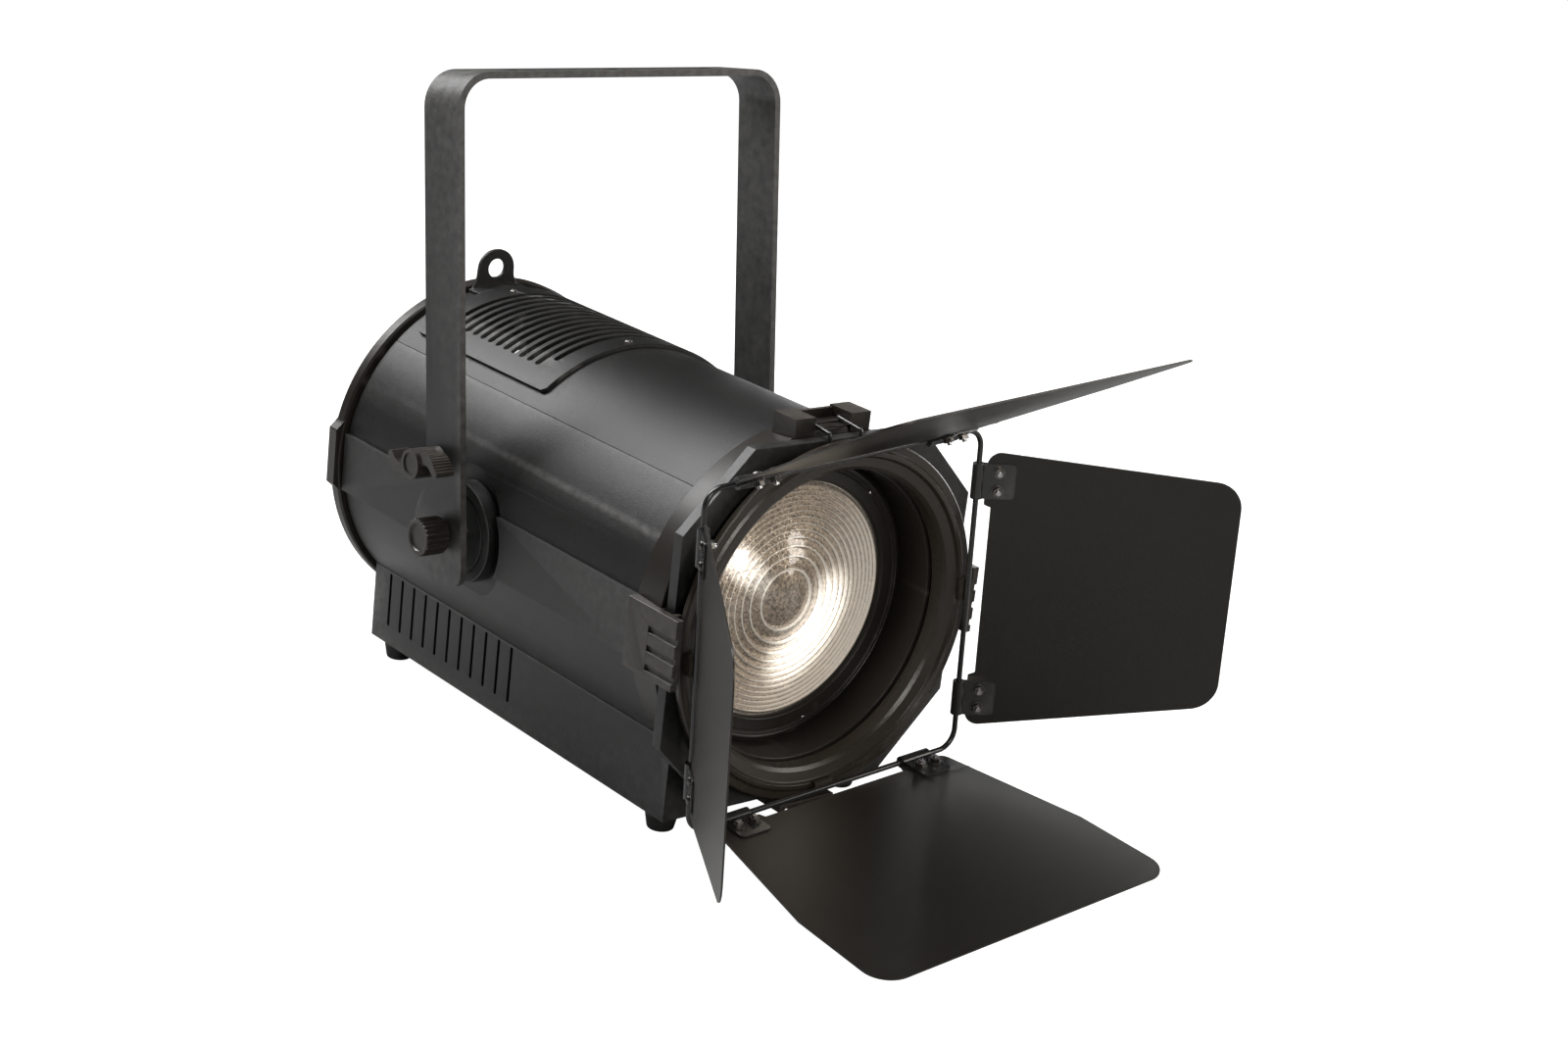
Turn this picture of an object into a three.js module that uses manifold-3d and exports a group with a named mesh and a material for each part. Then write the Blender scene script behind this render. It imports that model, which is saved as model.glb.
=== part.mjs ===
// A fresnel spotlight with a four-leaf barndoor and a tilting yoke. Millimetres, +Z up.
// Everything is drawn in lamp coordinates: the optical axis is the Y axis, the lens faces -Y, and
// y = 0 is the front face of the barndoor's plate. The finished lamp is then set down on z = 0.
import * as THREE from 'three';
import { mergeVertices } from 'three/addons/utils/BufferGeometryUtils.js';
import Module from 'manifold-3d';

const wasm = await Module();
wasm.setup();

// ---------------------------------------------------------------- driving sizes
const GAP = 0.3;                                // clearance between neighbouring pieces
const BARREL = { R: 130, wall: 2.5, y0: 41.8, y1: 415.7 };
const SEAM = 44.5;                              // half angle of the lift-off top cover, degrees
const BAND = { x: 131.6, z0: -24, z1: 21.5 };   // flat strip pressed into each side of the barrel
const POCKET = { r: 49, x: 120.3, wall: 2.4 };  // round recess behind each pivot disc
const COLLAR = { y0: 6, lip: 126, front: 134, rear: 131.2, bore: 107 };
const CAP = { R: 135, y0: 418.2, y1: 430, bump: 137.6 };
const VENT = { y0: 231, y1: 400, half: 38.5, r0: 130.3, r1: 133.4, first: 252.5, pitch: 10.33, count: 13,
  slot: 5.8, aside: -1.8 };                     // slots and screws sit 1.8 degrees to the left of the top
const BASE = { x: 95, y0: 31, y1: 416, z: -150, wall: 2 };
const LOUVRE = { y: 225, pitch: 16.8, count: 11, width: 3.2, z0: -135, z1: -91 };
const FOOT = { x: 84, y: [46, 391], top: 12, low: 9.6, h: 12 };
const PIVOT = { y: 249.8, z: -3.1 };            // the yoke turns about the X axis through this point
const DISC = { r: 38, x0: 120.7, x1: 133.4, hub: 6.4 };
const YOKE = { x: 146.4, t: 5, half: 22, lean: 8.2, top: 331, foot: 39, corner: 26 };
const WING = { v: 6, u: 53 };                   // clamp screw, measured up the leg from the pivot
const PLATE = { half: 130, cut: 54, t: 1.5, flange: 9, hole: 112.2 };
const TURN = 4.1;                               // how far the barndoor sits turned on its ring, degrees
const ROD = { a: 123.1, y: -19.2, r: 2, corner: 14 };
const LEAF = { t: 1.2, open: { right: 36, left: 57.5, top: 61, bottom: 87 } };
const CLIP = { at: 84, w: 26, d: 27, sheet: 1.2, eye: 4.4 };
const LENS = { R: 92, y: 39.8, back: 49.5, dome: 22, edge: 86.8, rings: 5 };
const CARRIAGE = { y: 185, rodX: 101, screwZ: -101 };

// ---------------------------------------------------------------- helpers
const rad = THREE.MathUtils.degToRad;
const V = (x, y, z) => new THREE.Vector3(x, y, z);

// One closed manifold from a three.js geometry, turned right side out.
function solid(geometry) {
  const g = geometry.clone();
  for (const name of ['normal', 'uv', 'color']) g.deleteAttribute(name);
  const m = mergeVertices(g, 1e-4);
  const p = new Float32Array(m.attributes.position.array);
  const idx = m.index.array;
  const tri = [];
  let volume = 0;
  for (let i = 0; i < idx.length; i += 3) {
    const [a, b, c] = [idx[i], idx[i + 1], idx[i + 2]];
    if (a === b || b === c || c === a) continue;
    tri.push(a, b, c);
    const [A, B, C] = [a, b, c].map((k) => V(p[3 * k], p[3 * k + 1], p[3 * k + 2]));
    volume += A.dot(B.cross(C));
  }
  if (volume < 0) {
    for (let i = 0; i < tri.length; i += 3) [tri[i], tri[i + 1]] = [tri[i + 1], tri[i]];
  }
  return new wasm.Manifold(new wasm.Mesh({
    numProp: 3, vertProperties: p, triVerts: new Uint32Array(tri),
  }));
}

const union = (...list) => list.flat().reduce((a, b) => a.add(b));
const cut = (body, ...tools) => tools.flat().reduce((a, b) => a.subtract(b), body);

function block(x0, x1, y0, y1, z0, z1) {
  const g = new THREE.BoxGeometry(x1 - x0, y1 - y0, z1 - z0);
  g.translate((x0 + x1) / 2, (y0 + y1) / 2, (z0 + z1) / 2);
  return solid(g);
}

// Cylinder or cone along one axis, from a to b on that axis, centred on the two other coordinates.
function rod(axis, a, b, r, c1 = 0, c2 = 0, seg = 32, rb = r) {
  const g = new THREE.CylinderGeometry(rb, r, Math.abs(b - a), seg);
  if (b < a) g.rotateX(Math.PI);
  g.translate(0, (a + b) / 2, 0);
  if (axis === 'x') g.rotateZ(-Math.PI / 2);
  if (axis === 'z') g.rotateX(Math.PI / 2);
  if (axis === 'x') g.translate(0, c1, c2);
  if (axis === 'y') g.translate(c1, 0, c2);
  if (axis === 'z') g.translate(c1, c2, 0);
  return solid(g);
}

// Solid of revolution about the optical axis from a closed list of [radius, y] points.
function spin(points, seg = 36) {
  const loop = [...points, points[0]].map(([r, y]) => new THREE.Vector2(r, y));
  return solid(new THREE.LatheGeometry(loop, seg));
}

// The same for a profile that starts and ends on the axis.
function turned(points, seg = 36) {
  return solid(new THREE.LatheGeometry(points.map(([r, y]) => new THREE.Vector2(r, y)), seg));
}

const tube = (r0, r1, y0, y1, seg = 48) => spin([[r0, y0], [r1, y0], [r1, y1], [r0, y1]], seg);

// A flat shape drawn in [x, z], pushed along Y from y0 to y1.
function slab(points, y0, y1, holes = []) {
  const shape = new THREE.Shape(points.map(([x, z]) => new THREE.Vector2(x, z)));
  for (const [x, z, r, seg = 48] of holes) {
    const ring = [];
    for (let i = 0; i < seg; i += 1) {
      const a = (2 * Math.PI * i) / seg;
      ring.push(new THREE.Vector2(x + r * Math.cos(a), z + r * Math.sin(a)));
    }
    shape.holes.push(new THREE.Path(ring));
  }
  const g = new THREE.ExtrudeGeometry(shape, { depth: y1 - y0, bevelEnabled: false });
  g.rotateX(Math.PI / 2);
  g.translate(0, y1, 0);
  return solid(g);
}

// Polygon with rounded corners; every entry is [x, z, corner radius].
function rounded(corners, steps = 5) {
  const out = [];
  const n = corners.length;
  corners.forEach(([x, z, r], i) => {
    if (!r) {
      out.push([x, z]);
      return;
    }
    const p = new THREE.Vector2(x, z);
    const before = new THREE.Vector2(...corners[(i + n - 1) % n].slice(0, 2)).sub(p).normalize();
    const after = new THREE.Vector2(...corners[(i + 1) % n].slice(0, 2)).sub(p).normalize();
    const half = Math.acos(THREE.MathUtils.clamp(before.dot(after), -1, 1)) / 2;
    const mid = before.clone().add(after).normalize();
    const centre = p.clone().addScaledVector(mid, r / Math.sin(half));
    const start = p.clone().addScaledVector(before, r / Math.tan(half)).sub(centre);
    const end = p.clone().addScaledVector(after, r / Math.tan(half)).sub(centre);
    let sweep = end.angle() - start.angle();
    if (sweep > Math.PI) sweep -= 2 * Math.PI;
    if (sweep < -Math.PI) sweep += 2 * Math.PI;
    for (let k = 0; k <= steps; k += 1) {
      const a = start.angle() + (sweep * k) / steps;
      out.push([centre.x + r * Math.cos(a), centre.y + r * Math.sin(a)]);
    }
  });
  return out;
}

// A flat shape drawn in [y, z], pushed along X from x0 to x1.
function sidePlate(points, x0, x1) {
  const shape = new THREE.Shape(points.map(([y, z]) => new THREE.Vector2(y, z)));
  const g = new THREE.ExtrudeGeometry(shape, { depth: x1 - x0, bevelEnabled: false });
  g.applyMatrix4(new THREE.Matrix4().makeBasis(V(0, 1, 0), V(0, 0, 1), V(1, 0, 0)));
  g.translate(x0, 0, 0);
  return solid(g);
}

// Wedge about the optical axis between two angles, measured from the top towards +X.
function wedge(a0, a1, y0, y1, reach = 220) {
  const points = [[0, 0]];
  const n = Math.max(1, Math.ceil((a1 - a0) / 60));
  for (let i = 0; i <= n; i += 1) {
    const a = rad(a0 + ((a1 - a0) * i) / n);
    points.push([reach * Math.sin(a), reach * Math.cos(a)]);
  }
  return slab(points, y0, y1);
}

// Round bar along a path of straight lines and arcs.
function bar(curve, steps, r, seg = 10) {
  const ring = [];
  for (let i = 0; i < seg; i += 1) {
    const a = (2 * Math.PI * i) / seg;
    ring.push(new THREE.Vector2(r * Math.cos(a), r * Math.sin(a)));
  }
  const options = { steps, extrudePath: curve, bevelEnabled: false };
  return solid(new THREE.ExtrudeGeometry(new THREE.Shape(ring), options));
}

const moved = (body, x, y, z) => body.translate([x, y, z]);
const mirrorX = (body) => body.mirror([1, 0, 0]);

const root = new THREE.Group();
root.name = 'fresnel_spotlight';

const FINISH = {
  powder: { color: 0x1d1c1f, roughness: 0.55, metalness: 0.25 },
  plastic: { color: 0x1e1a17, roughness: 0.5, metalness: 0.0 },
  leaf: { color: 0x1b1917, roughness: 0.62, metalness: 0.3 },
  rodBlack: { color: 0x141414, roughness: 0.3, metalness: 0.6 },
  steel: { color: 0x8d8f92, roughness: 0.35, metalness: 1.0 },
  zinc: { color: 0x5c5a58, roughness: 0.4, metalness: 0.9 },
  alloy: { color: 0xa7a9ab, roughness: 0.45, metalness: 0.9 },
  glass: { color: 0xd9c9a6, roughness: 0.15, metalness: 0.0, transparent: true, opacity: 0.45 },
  rubber: { color: 0x1a1a1a, roughness: 0.9, metalness: 0.0 },
  screen: { color: 0x16222c, roughness: 0.12, metalness: 0.0 },
  led: { color: 0xe8c34a, roughness: 0.5, metalness: 0.0 },
  motor: { color: 0x26262a, roughness: 0.5, metalness: 0.5 },
  supply: { color: 0xb9bbbd, roughness: 0.5, metalness: 0.7 },
};

function add(name, body, finish) {
  const mesh = body.getMesh();
  const g = new THREE.BufferGeometry();
  g.setAttribute('position', new THREE.BufferAttribute(new Float32Array(mesh.vertProperties), 3));
  g.setIndex(new THREE.BufferAttribute(new Uint32Array(mesh.triVerts), 1));
  const flat = g.toNonIndexed();
  flat.computeVertexNormals();
  const item = new THREE.Mesh(flat, new THREE.MeshStandardMaterial({ ...FINISH[finish], name: finish }));
  item.name = name;
  root.add(item);
}

// ---------------------------------------------------------------- barrel
const outerRound = rod('y', BARREL.y0, BARREL.y1, BARREL.R, 0, 0, 48);
const bands = [[-BAND.x, -120], [120, BAND.x]].map(([x0, x1]) => block(x0, x1,
  BARREL.y0, BARREL.y1, BAND.z0, BAND.z1));
const barrelOuter = union(outerRound, bands);
const innerRound = rod('y', BARREL.y0 - 1, BARREL.y1 + 1, BARREL.R - BARREL.wall, 0, 0, 48);
const sides = [-1, 1];
const pocketCup = sides.map((s) => rod('x', s * (POCKET.x - POCKET.wall), s * 140,
  POCKET.r + POCKET.wall, PIVOT.y, PIVOT.z, 24));
const pocketVoid = sides.map((s) => rod('x', s * POCKET.x, s * 140, POCKET.r, PIVOT.y, PIVOT.z, 24));
const shaftHole = rod('x', -150, 150, 4.4, PIVOT.y, PIVOT.z, 12);
const wholeShell = cut(barrelOuter, cut(innerRound, pocketCup), pocketVoid, shaftHole);
const cableHole = rod('z', -140, -115, 12, 0, 330, 24);
add('barrel_shell', cut(wholeShell, cableHole, wedge(-SEAM, SEAM, 0, 500)), 'powder');

const seamGap = 0.15;
const ventWindow = wedge(-33, 33, VENT.y0 + 14, VENT.y1 - 16).intersect(
  block(-120, 120, VENT.y0, VENT.y1, 90, 140));
const coverScrews = [VENT.y0 + 7, VENT.y1 - 11.2].map((y) => rod('z', 120, 136, 1.7, 0, y, 12)
  .rotate([0, VENT.aside, 0]));
const coverPart = wholeShell.intersect(wedge(-SEAM + seamGap, SEAM - seamGap, 0, 500));
add('top_cover', cut(coverPart, ventWindow, coverScrews), 'powder');

// ---------------------------------------------------------------- vent panel and safety eye
let ventPanel = tube(VENT.r0, VENT.r1, VENT.y0, VENT.y1, 45)
  .intersect(wedge(-VENT.half, VENT.half, 0, 500));
for (let i = 0; i < VENT.count; i += 1) {
  const reach = i === 0 || i === VENT.count - 1 ? 24.5 : 29;
  const y = VENT.first + i * VENT.pitch;
  ventPanel = cut(ventPanel, wedge(VENT.aside - reach, VENT.aside + reach,
    y - VENT.slot / 2, y + VENT.slot / 2));
}
ventPanel = cut(ventPanel, coverScrews);
const cornerCut = sides.map((s) => {
  const g = new THREE.BoxGeometry(5, 5, 60);
  g.rotateZ(rad(45));
  g.translate(s * VENT.r1 * Math.sin(rad(VENT.half)), VENT.y0, 110);
  return solid(g);
});
add('vent_panel', cut(ventPanel, cornerCut), 'powder');

const EYE = { x: -5, foot: 23, hole: 146 };
const eyeShape = rounded([[-EYE.foot, 126, 0], [EYE.foot, 126, 0], [17, 139, 8], [15.5, 161, 15.4],
  [-15.5, 161, 15.4], [-17, 139, 8]], 8).map(([x, z]) => [x + EYE.x, z]);
const eyeFoot = tube(VENT.r0, VENT.r1, 401, 415.4, 48)
  .intersect(block(EYE.x - EYE.foot, EYE.x + EYE.foot, 300, 450, 100, 150));
const eyeLug = cut(slab(eyeShape, 412.4, 415.4, [[EYE.x, EYE.hole, 7.5, 24]]),
  rod('y', 300, 450, VENT.r0 + 0.2, 0, 0, 96));
add('safety_eye', union(eyeLug, eyeFoot), 'powder');

// ---------------------------------------------------------------- front collar and lens cell
const collar = spin([
  [COLLAR.bore, COLLAR.y0], [COLLAR.lip, COLLAR.y0], [COLLAR.lip, 10.3], [COLLAR.front, 12],
  [COLLAR.rear, 41.2], [127.1, 41.2], [127.1, 52], [124.3, 52], [124.3, 38], [128.3, 35],
  [130.6, 14.6], [123.2, 12.6], [123.2, 8.8], [110, 8.8], [110, 37], [COLLAR.bore, 37],
]);
add('front_collar', collar, 'plastic');

add('lens_holder', spin([
  [87.5, 36.6], [89, 34.5], [103, 34.5], [106.6, 36.4], [106.6, 37.4], [123.8, 37.4], [123.8, 40.6],
  [96, 40.6], [96, 52], [92.5, 52], [92.5, 39.4], [87.5, 39.4],
], 32), 'plastic');

const lensProfile = [[0, LENS.back], [0, 33.6]];
for (let i = 1; i <= 3; i += 1) {
  const r = (LENS.dome * i) / 3;
  lensProfile.push([r, 33.6 + 4.4 * (r / LENS.dome) ** 2]);
}
const ringWidth = (LENS.edge - LENS.dome) / LENS.rings;
for (let i = 0; i < LENS.rings; i += 1) {
  const r0 = LENS.dome + ringWidth * i;
  lensProfile.push([r0 + 0.4, 35.6], [r0 + ringWidth, 39.0]);
}
lensProfile.push([87.1, LENS.y], [LENS.R, LENS.y], [LENS.R, LENS.back], [0, LENS.back]);
add('fresnel_lens', turned(lensProfile, 32), 'glass');

// ---------------------------------------------------------------- accessory clips and latch
const collarKeepOut = turned([[0, 5.7], [126.4, 5.7], [126.4, 10.1], [134.5, 11.7],
  [131.8, 41.5], [0, 41.5]], 52).add(rod('y', 41, 60, BARREL.R + GAP, 0, 0, 48));
const clipBlock = () => {
  const body = union(
    block(132.3, 138, -13.6, 40, -27.5, 22.5),
    block(126.8, 135, -5.2, -0.5, -27.5, 22.5),
    block(127, 135, 9.6, 40, -27.5, 22.5));
  const grooves = [-20, -6.5, 7].map((z) => block(136, 140, -20, 16, z - 2.2, z + 2.2));
  return cut(body, collarKeepOut, grooves);
};
add('accessory_clip_right', clipBlock(), 'plastic');
add('accessory_clip_left', mirrorX(clipBlock()), 'plastic');
add('accessory_clip_bottom', cut(clipBlock().rotate([0, 90, 0]),
  block(-100, 100, 30.6, 60, -160, -100)), 'plastic');

const LATCH = { y: 23, z: 137.6, x: 16.2, out: 33.8, y0: 10.6, y1: 34, top: 143 };
const latchBlocks = [[-LATCH.out, -LATCH.x], [LATCH.x, LATCH.out]].map(([x0, x1]) => block(x0, x1,
  LATCH.y0, LATCH.y1, 120, LATCH.top));
const latchWeb = block(-17, 17, 12, LATCH.y1, 120, 135.4).subtract(block(-15.9, 15.9, 11, 20.5, 134.3, 140));
const latchBack = block(-17, 17, LATCH.y1 - 3.4, LATCH.y1, 120, LATCH.top - 1.4);
const latchBores = sides.map((s) => rod('x', s * 15, s * 24, 1.9, LATCH.y, LATCH.z, 16));
add('latch_base', cut(union(latchBlocks, latchWeb, latchBack), collarKeepOut, latchBores,
  block(-40, 40, 0, 10.5, 100, 150)), 'plastic');

// Wire bent at sharp corners, with a ball at each bend to close it.
function wire(points, r, seg = 6) {
  const parts = [];
  for (let i = 0; i < points.length - 1; i += 1) {
    parts.push(bar(new THREE.LineCurve3(points[i], points[i + 1]), 1, r, seg));
  }
  for (let i = 1; i < points.length - 1; i += 1) {
    const g = new THREE.SphereGeometry(r * 1.02, seg, 3);
    g.translate(points[i].x, points[i].y, points[i].z);
    parts.push(solid(g));
  }
  return union(parts);
}
add('latch_bail', wire([
  V(-22.5, LATCH.y, LATCH.z), V(-14, LATCH.y, LATCH.z), V(-14, -2.9, 135), V(-14, -2.9, 127.2),
  V(14, -2.9, 127.2), V(14, -2.9, 135), V(14, LATCH.y, LATCH.z), V(22.5, LATCH.y, LATCH.z),
], 1.5), 'steel');

// ---------------------------------------------------------------- base and feet
const baseTray = cut(
  block(-BASE.x, BASE.x, BASE.y0, BASE.y1, BASE.z, -70),
  block(-BASE.x + BASE.wall, BASE.x - BASE.wall, BASE.y0 + BASE.wall, BASE.y1 - BASE.wall,
    BASE.z + BASE.wall, -60),
  collarKeepOut,
  rod('y', 41.4, 500, BARREL.R + GAP, 0, 0, 48));
const louvres = [];
for (let i = 0; i < LOUVRE.count; i += 1) {
  const y = LOUVRE.y + i * LOUVRE.pitch;
  louvres.push(block(-100, -90, y - LOUVRE.width / 2, y + LOUVRE.width / 2, LOUVRE.z0, LOUVRE.z1));
  louvres.push(block(90, 100, y - LOUVRE.width / 2, y + LOUVRE.width / 2, LOUVRE.z0, LOUVRE.z1));
}
const footPlaces = [];
for (const y of FOOT.y) {
  for (const s of sides) footPlaces.push([s * FOOT.x, y]);
}
const footHoles = footPlaces.map(([x, y]) => rod('z', BASE.z - 1, BASE.z + 4, 2.4, x, y, 8));
const baseClipGap = block(-28, 28, 30, 34, -139, -126);
add('base_housing', cut(baseTray, louvres, footHoles, baseClipGap), 'powder');
footPlaces.forEach(([x, y], i) => {
  add(`foot_${i + 1}`, union(
    rod('z', BASE.z - FOOT.h, BASE.z - 0.1, FOOT.low, x, y, 16, FOOT.top),
    rod('z', BASE.z - 1, BASE.z + 1.9, 2.1, x, y, 8)), 'rubber');
});

// ---------------------------------------------------------------- rear cap and panel
const capRing = spin([
  [124, 408], [127.1, 408], [127.1, CAP.y0], [133.6, CAP.y0], [CAP.R, CAP.y0 + 1.5],
  [CAP.R, CAP.y1 - 2], [133, CAP.y1], [122.5, CAP.y1], [121, CAP.y1 - 1.5], [121, 421],
  [116, 421], [116, 418.2], [124, 418.2],
]);
const capBumps = sides.map((s) => slab([[s * 128, -30], [s * 133, -24], [s * CAP.bump, -20],
  [s * CAP.bump, 24], [s * 133, 28.5], [s * 128, 34]], CAP.y0 + 0.6, CAP.y1 - 1));
add('rear_cap', union(capRing, capBumps), 'plastic');

const PANEL = { y0: 421.3, y1: 424.3, r: 120.1 };
const buttonX = [-27, -9, 9, 27];
const inlet = { x: 48, z: -46 };
const dataPlug = { x: -48, z: -46 };
let rearPanel = rod('y', PANEL.y0, PANEL.y1, PANEL.r, 0, 0, 40);
rearPanel = cut(rearPanel,
  block(-30.3, 30.3, 400, 440, 28.7, 59.3),
  buttonX.map((x) => rod('y', 400, 440, 5, x, 8, 16)),
  rod('y', 400, 440, 15.3, inlet.x, inlet.z, 14),
  rod('y', 400, 440, 12.3, dataPlug.x, dataPlug.z, 14));
for (let i = 0; i < 4; i += 1) {
  const z = 72 + i * 9;
  const w = 52 - i * 5;
  const slot = block(-w, w, 400, 440, z - 2, z + 2);
  rearPanel = cut(rearPanel, slot.subtract(block(-2, 2, 400, 440, z - 3, z + 3)));
}
add('rear_panel', rearPanel, 'powder');
add('display_window', union(block(-30, 30, 420, 424.8, 29, 59),
  block(-32, 32, 424.6, 426, 27, 61)), 'screen');
buttonX.forEach((x, i) => {
  add(`menu_button_${i + 1}`, union(
    rod('y', 417, 427.2, 4.7, x, 8, 14),
    rod('y', 417, 419, 6, x, 8, 14)), 'rubber');
});
const plugFace = (p, r, pins) => {
  const body = union(
    rod('y', 400, 425.5, r, p.x, p.z, 14),
    block(p.x - r - 2, p.x + r + 2, 424.6, 426.6, p.z - r - 4, p.z + r + 4));
  const well = rod('y', 410, 440, r - 3, p.x, p.z, 14);
  return union(cut(body, well), pins.map(([x, z]) => rod('y', 405, 421, 1.6, p.x + x, p.z + z, 6)));
};
add('power_inlet', plugFace(inlet, 15, [[-6, 0], [6, 0], [0, 7]]), 'plastic');
add('data_in', plugFace(dataPlug, 12, [[-4.5, 2], [4.5, 2], [0, -5]]), 'steel');

// ---------------------------------------------------------------- inside: rails, carriage, light engine
const rearFrame = cut(
  rod('y', 404, 406.5, 123.6, 0, 0, 32),
  rod('y', 400, 410, 70, 0, 12, 28),
  sides.map((s) => rod('y', 400, 410, 4.3, s * CARRIAGE.rodX, 0, 12)),
  rod('y', 400, 410, 17, inlet.x, inlet.z, 16),
  rod('y', 400, 410, 14, dataPlug.x, dataPlug.z, 16),
  rod('y', 400, 410, 6, 0, CARRIAGE.screwZ, 20));
add('rear_frame', rearFrame, 'alloy');
sides.forEach((s) => {
  add(s < 0 ? 'guide_rod_left' : 'guide_rod_right',
    rod('y', 41, 409, 4, s * CARRIAGE.rodX, 0, 16), 'steel');
});
add('lead_screw', union(
  rod('y', 41, 366, 3.2, 0, CARRIAGE.screwZ, 16),
  rod('y', 352, 364, 6, 0, CARRIAGE.screwZ, 16)), 'steel');
add('zoom_motor', cut(union(
  block(-21, 21, 372, 403.7, CARRIAGE.screwZ - 20, CARRIAGE.screwZ + 21),
  rod('y', 368, 373, 11, 0, CARRIAGE.screwZ, 24)),
rod('y', 360, 371, 3.6, 0, CARRIAGE.screwZ, 16)), 'motor');

const CY = CARRIAGE.y;
add('carriage', cut(union(
  rod('y', CY, CY + 3, 84, 0, 0, 28),
  block(-CARRIAGE.rodX, CARRIAGE.rodX, CY, CY + 3, -10, 10),
  block(-9, 9, CY, CY + 3, CARRIAGE.screwZ, -60),
  sides.map((s) => rod('y', CY - 9, CY + 15, 8, s * CARRIAGE.rodX, 0, 16)),
  rod('y', CY - 6, CY + 10, 8, 0, CARRIAGE.screwZ, 16)),
sides.map((s) => rod('y', 150, 230, 4.06, s * CARRIAGE.rodX, 0, 16)),
rod('y', 150, 230, 3.4, 0, CARRIAGE.screwZ, 16),
rod('y', 150, 230, 36, 0, 0, 28)), 'alloy');
add('led_module', turned([[0, CY + 3], [30, CY + 3], [30, CY - 3], [20, CY - 3], [19, CY - 10],
  [14, CY - 16], [7, CY - 19], [0, CY - 20]], 24), 'led');
const finHeight = (x) => Math.sqrt(80 * 80 - x * x);
const fins = [];
for (let i = -6; i <= 6; i += 1) {
  const x = i * 12;
  fins.push(block(x - 0.9, x + 0.9, CY + 12, CY + 62, -finHeight(x), finHeight(x)));
}
add('heat_sink', union(rod('y', CY + 3.3, CY + 12.5, 80, 0, 0, 32), fins), 'alloy');
const FAN = { y0: CY + 62.5, y1: CY + 87.5, r: 57 };
add('fan_frame', cut(union(
  cut(block(-60, 60, FAN.y0, FAN.y1, -60, 60), rod('y', 100, 400, FAN.r, 0, 0, 32)),
  rod('y', FAN.y1 - 4, FAN.y1, 21, 0, 0, 28),
  block(-59, 59, FAN.y1 - 3, FAN.y1, -2.5, 2.5),
  block(-2.5, 2.5, FAN.y1 - 3, FAN.y1, -59, 59)),
rod('y', FAN.y1 - 5, FAN.y1 - 1.5, 3.3, 0, 0, 16)), 'plastic');
const blades = [];
for (let i = 0; i < 7; i += 1) {
  const g = new THREE.BoxGeometry(38, 1.6, 26);
  g.rotateX(rad(32));
  g.translate(35.5, FAN.y0 + 10, 0);
  g.rotateY((2 * Math.PI * i) / 7);
  blades.push(solid(g));
}
add('fan_rotor', union(rod('y', FAN.y0 + 2, FAN.y1 - 4.6, 21, 0, 0, 28), blades,
  rod('y', FAN.y1 - 6, FAN.y1 - 2, 3, 0, 0, 16)), 'plastic');
add('power_supply', cut(union(
  block(-88, 88, 60, 250, -147.4, -144.6),
  block(58, 86, 80, 230, -145, -122),
  block(-86, -58, 80, 230, -145, -122),
  block(-50, 50, 90, 220, -145, -134)),
rod('y', 0, 500, BARREL.R + 1, 0, 0, 72)), 'supply');

// ---------------------------------------------------------------- barndoor: plate, ring, rods, leaves
const octagon = (half, corner) => [[half - corner, half], [half, half - corner], [half, corner - half],
  [half - corner, -half], [corner - half, -half], [-half, corner - half], [-half, half - corner],
  [corner - half, half]];
const inset = (k) => octagon(PLATE.half - k, PLATE.cut - k * (2 - Math.SQRT2));
const plate = union(
  slab(octagon(PLATE.half, PLATE.cut), 0, PLATE.t, [[0, 0, PLATE.hole, 40]]),
  cut(slab(octagon(PLATE.half, PLATE.cut), 0, PLATE.flange), slab(inset(1.5), -1, PLATE.flange + 1)));
add('barndoor_plate', plate, 'powder');

const turn = (body) => body.rotate([0, -TURN, 0]);
const ring = spin([
  [109.2, 4.2], [114, 4.2], [114, 1.9], [111.8, 1.9], [111.8, -5.8], [130.4, -5.8], [131.5, -6.8],
  [131.5, -10.4], [130.4, -11.4], [125.4, -11.4], [123.4, -13], [120.6, -13], [118.8, -10.8],
  [112, -8.6], [109.2, -6.4],
], 36);
const pads = [0, 90, 180, 270].map((a) => block(ROD.a - 4, ROD.a + 4, ROD.y + ROD.r + GAP, -9, -8, 8)
  .rotate([0, a, 0]));
add('barndoor_ring', turn(union(ring, pads)), 'powder');

class Elbow extends THREE.Curve {
  getPoint(t, target = new THREE.Vector3()) {
    const a = (t * Math.PI) / 2;
    const c = ROD.a - ROD.corner;
    return target.set(c + ROD.corner * Math.cos(a), ROD.y, c + ROD.corner * Math.sin(a));
  }
}
const quarter = union(
  bar(new Elbow(), 4, ROD.r, 8),
  rod('x', -(ROD.a - ROD.corner) - 0.2, ROD.a - ROD.corner + 0.2, ROD.r, ROD.y, ROD.a, 8));
add('wire_frame', turn(union([0, 90, 180, 270].map((a) => quarter.rotate([0, a, 0])))), 'rodBlack');

// Leaves and clips are drawn for the right side, flat in the plate's plane: x is the distance out
// from the rod, z runs along it and -y is the side the beam passes.
const sideLeaf = (from, to) => rounded([[6, -106.3, 10], [191.5, from, 21], [191.5, to, 21],
  [6, 106.3, 10], [6, 66, 0], [11, 64, 0], [11, -64, 0], [6, -66, 0]]);
const wideLeaf = rounded([[6, -105.6, 9], [125, -130, 0], [210, -132.5, 20], [210, 132.5, 20],
  [125, 130, 0], [6, 105.6, 9], [6, 66, 0], [11, 64, 0], [11, -64, 0], [6, -66, 0]]);
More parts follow.
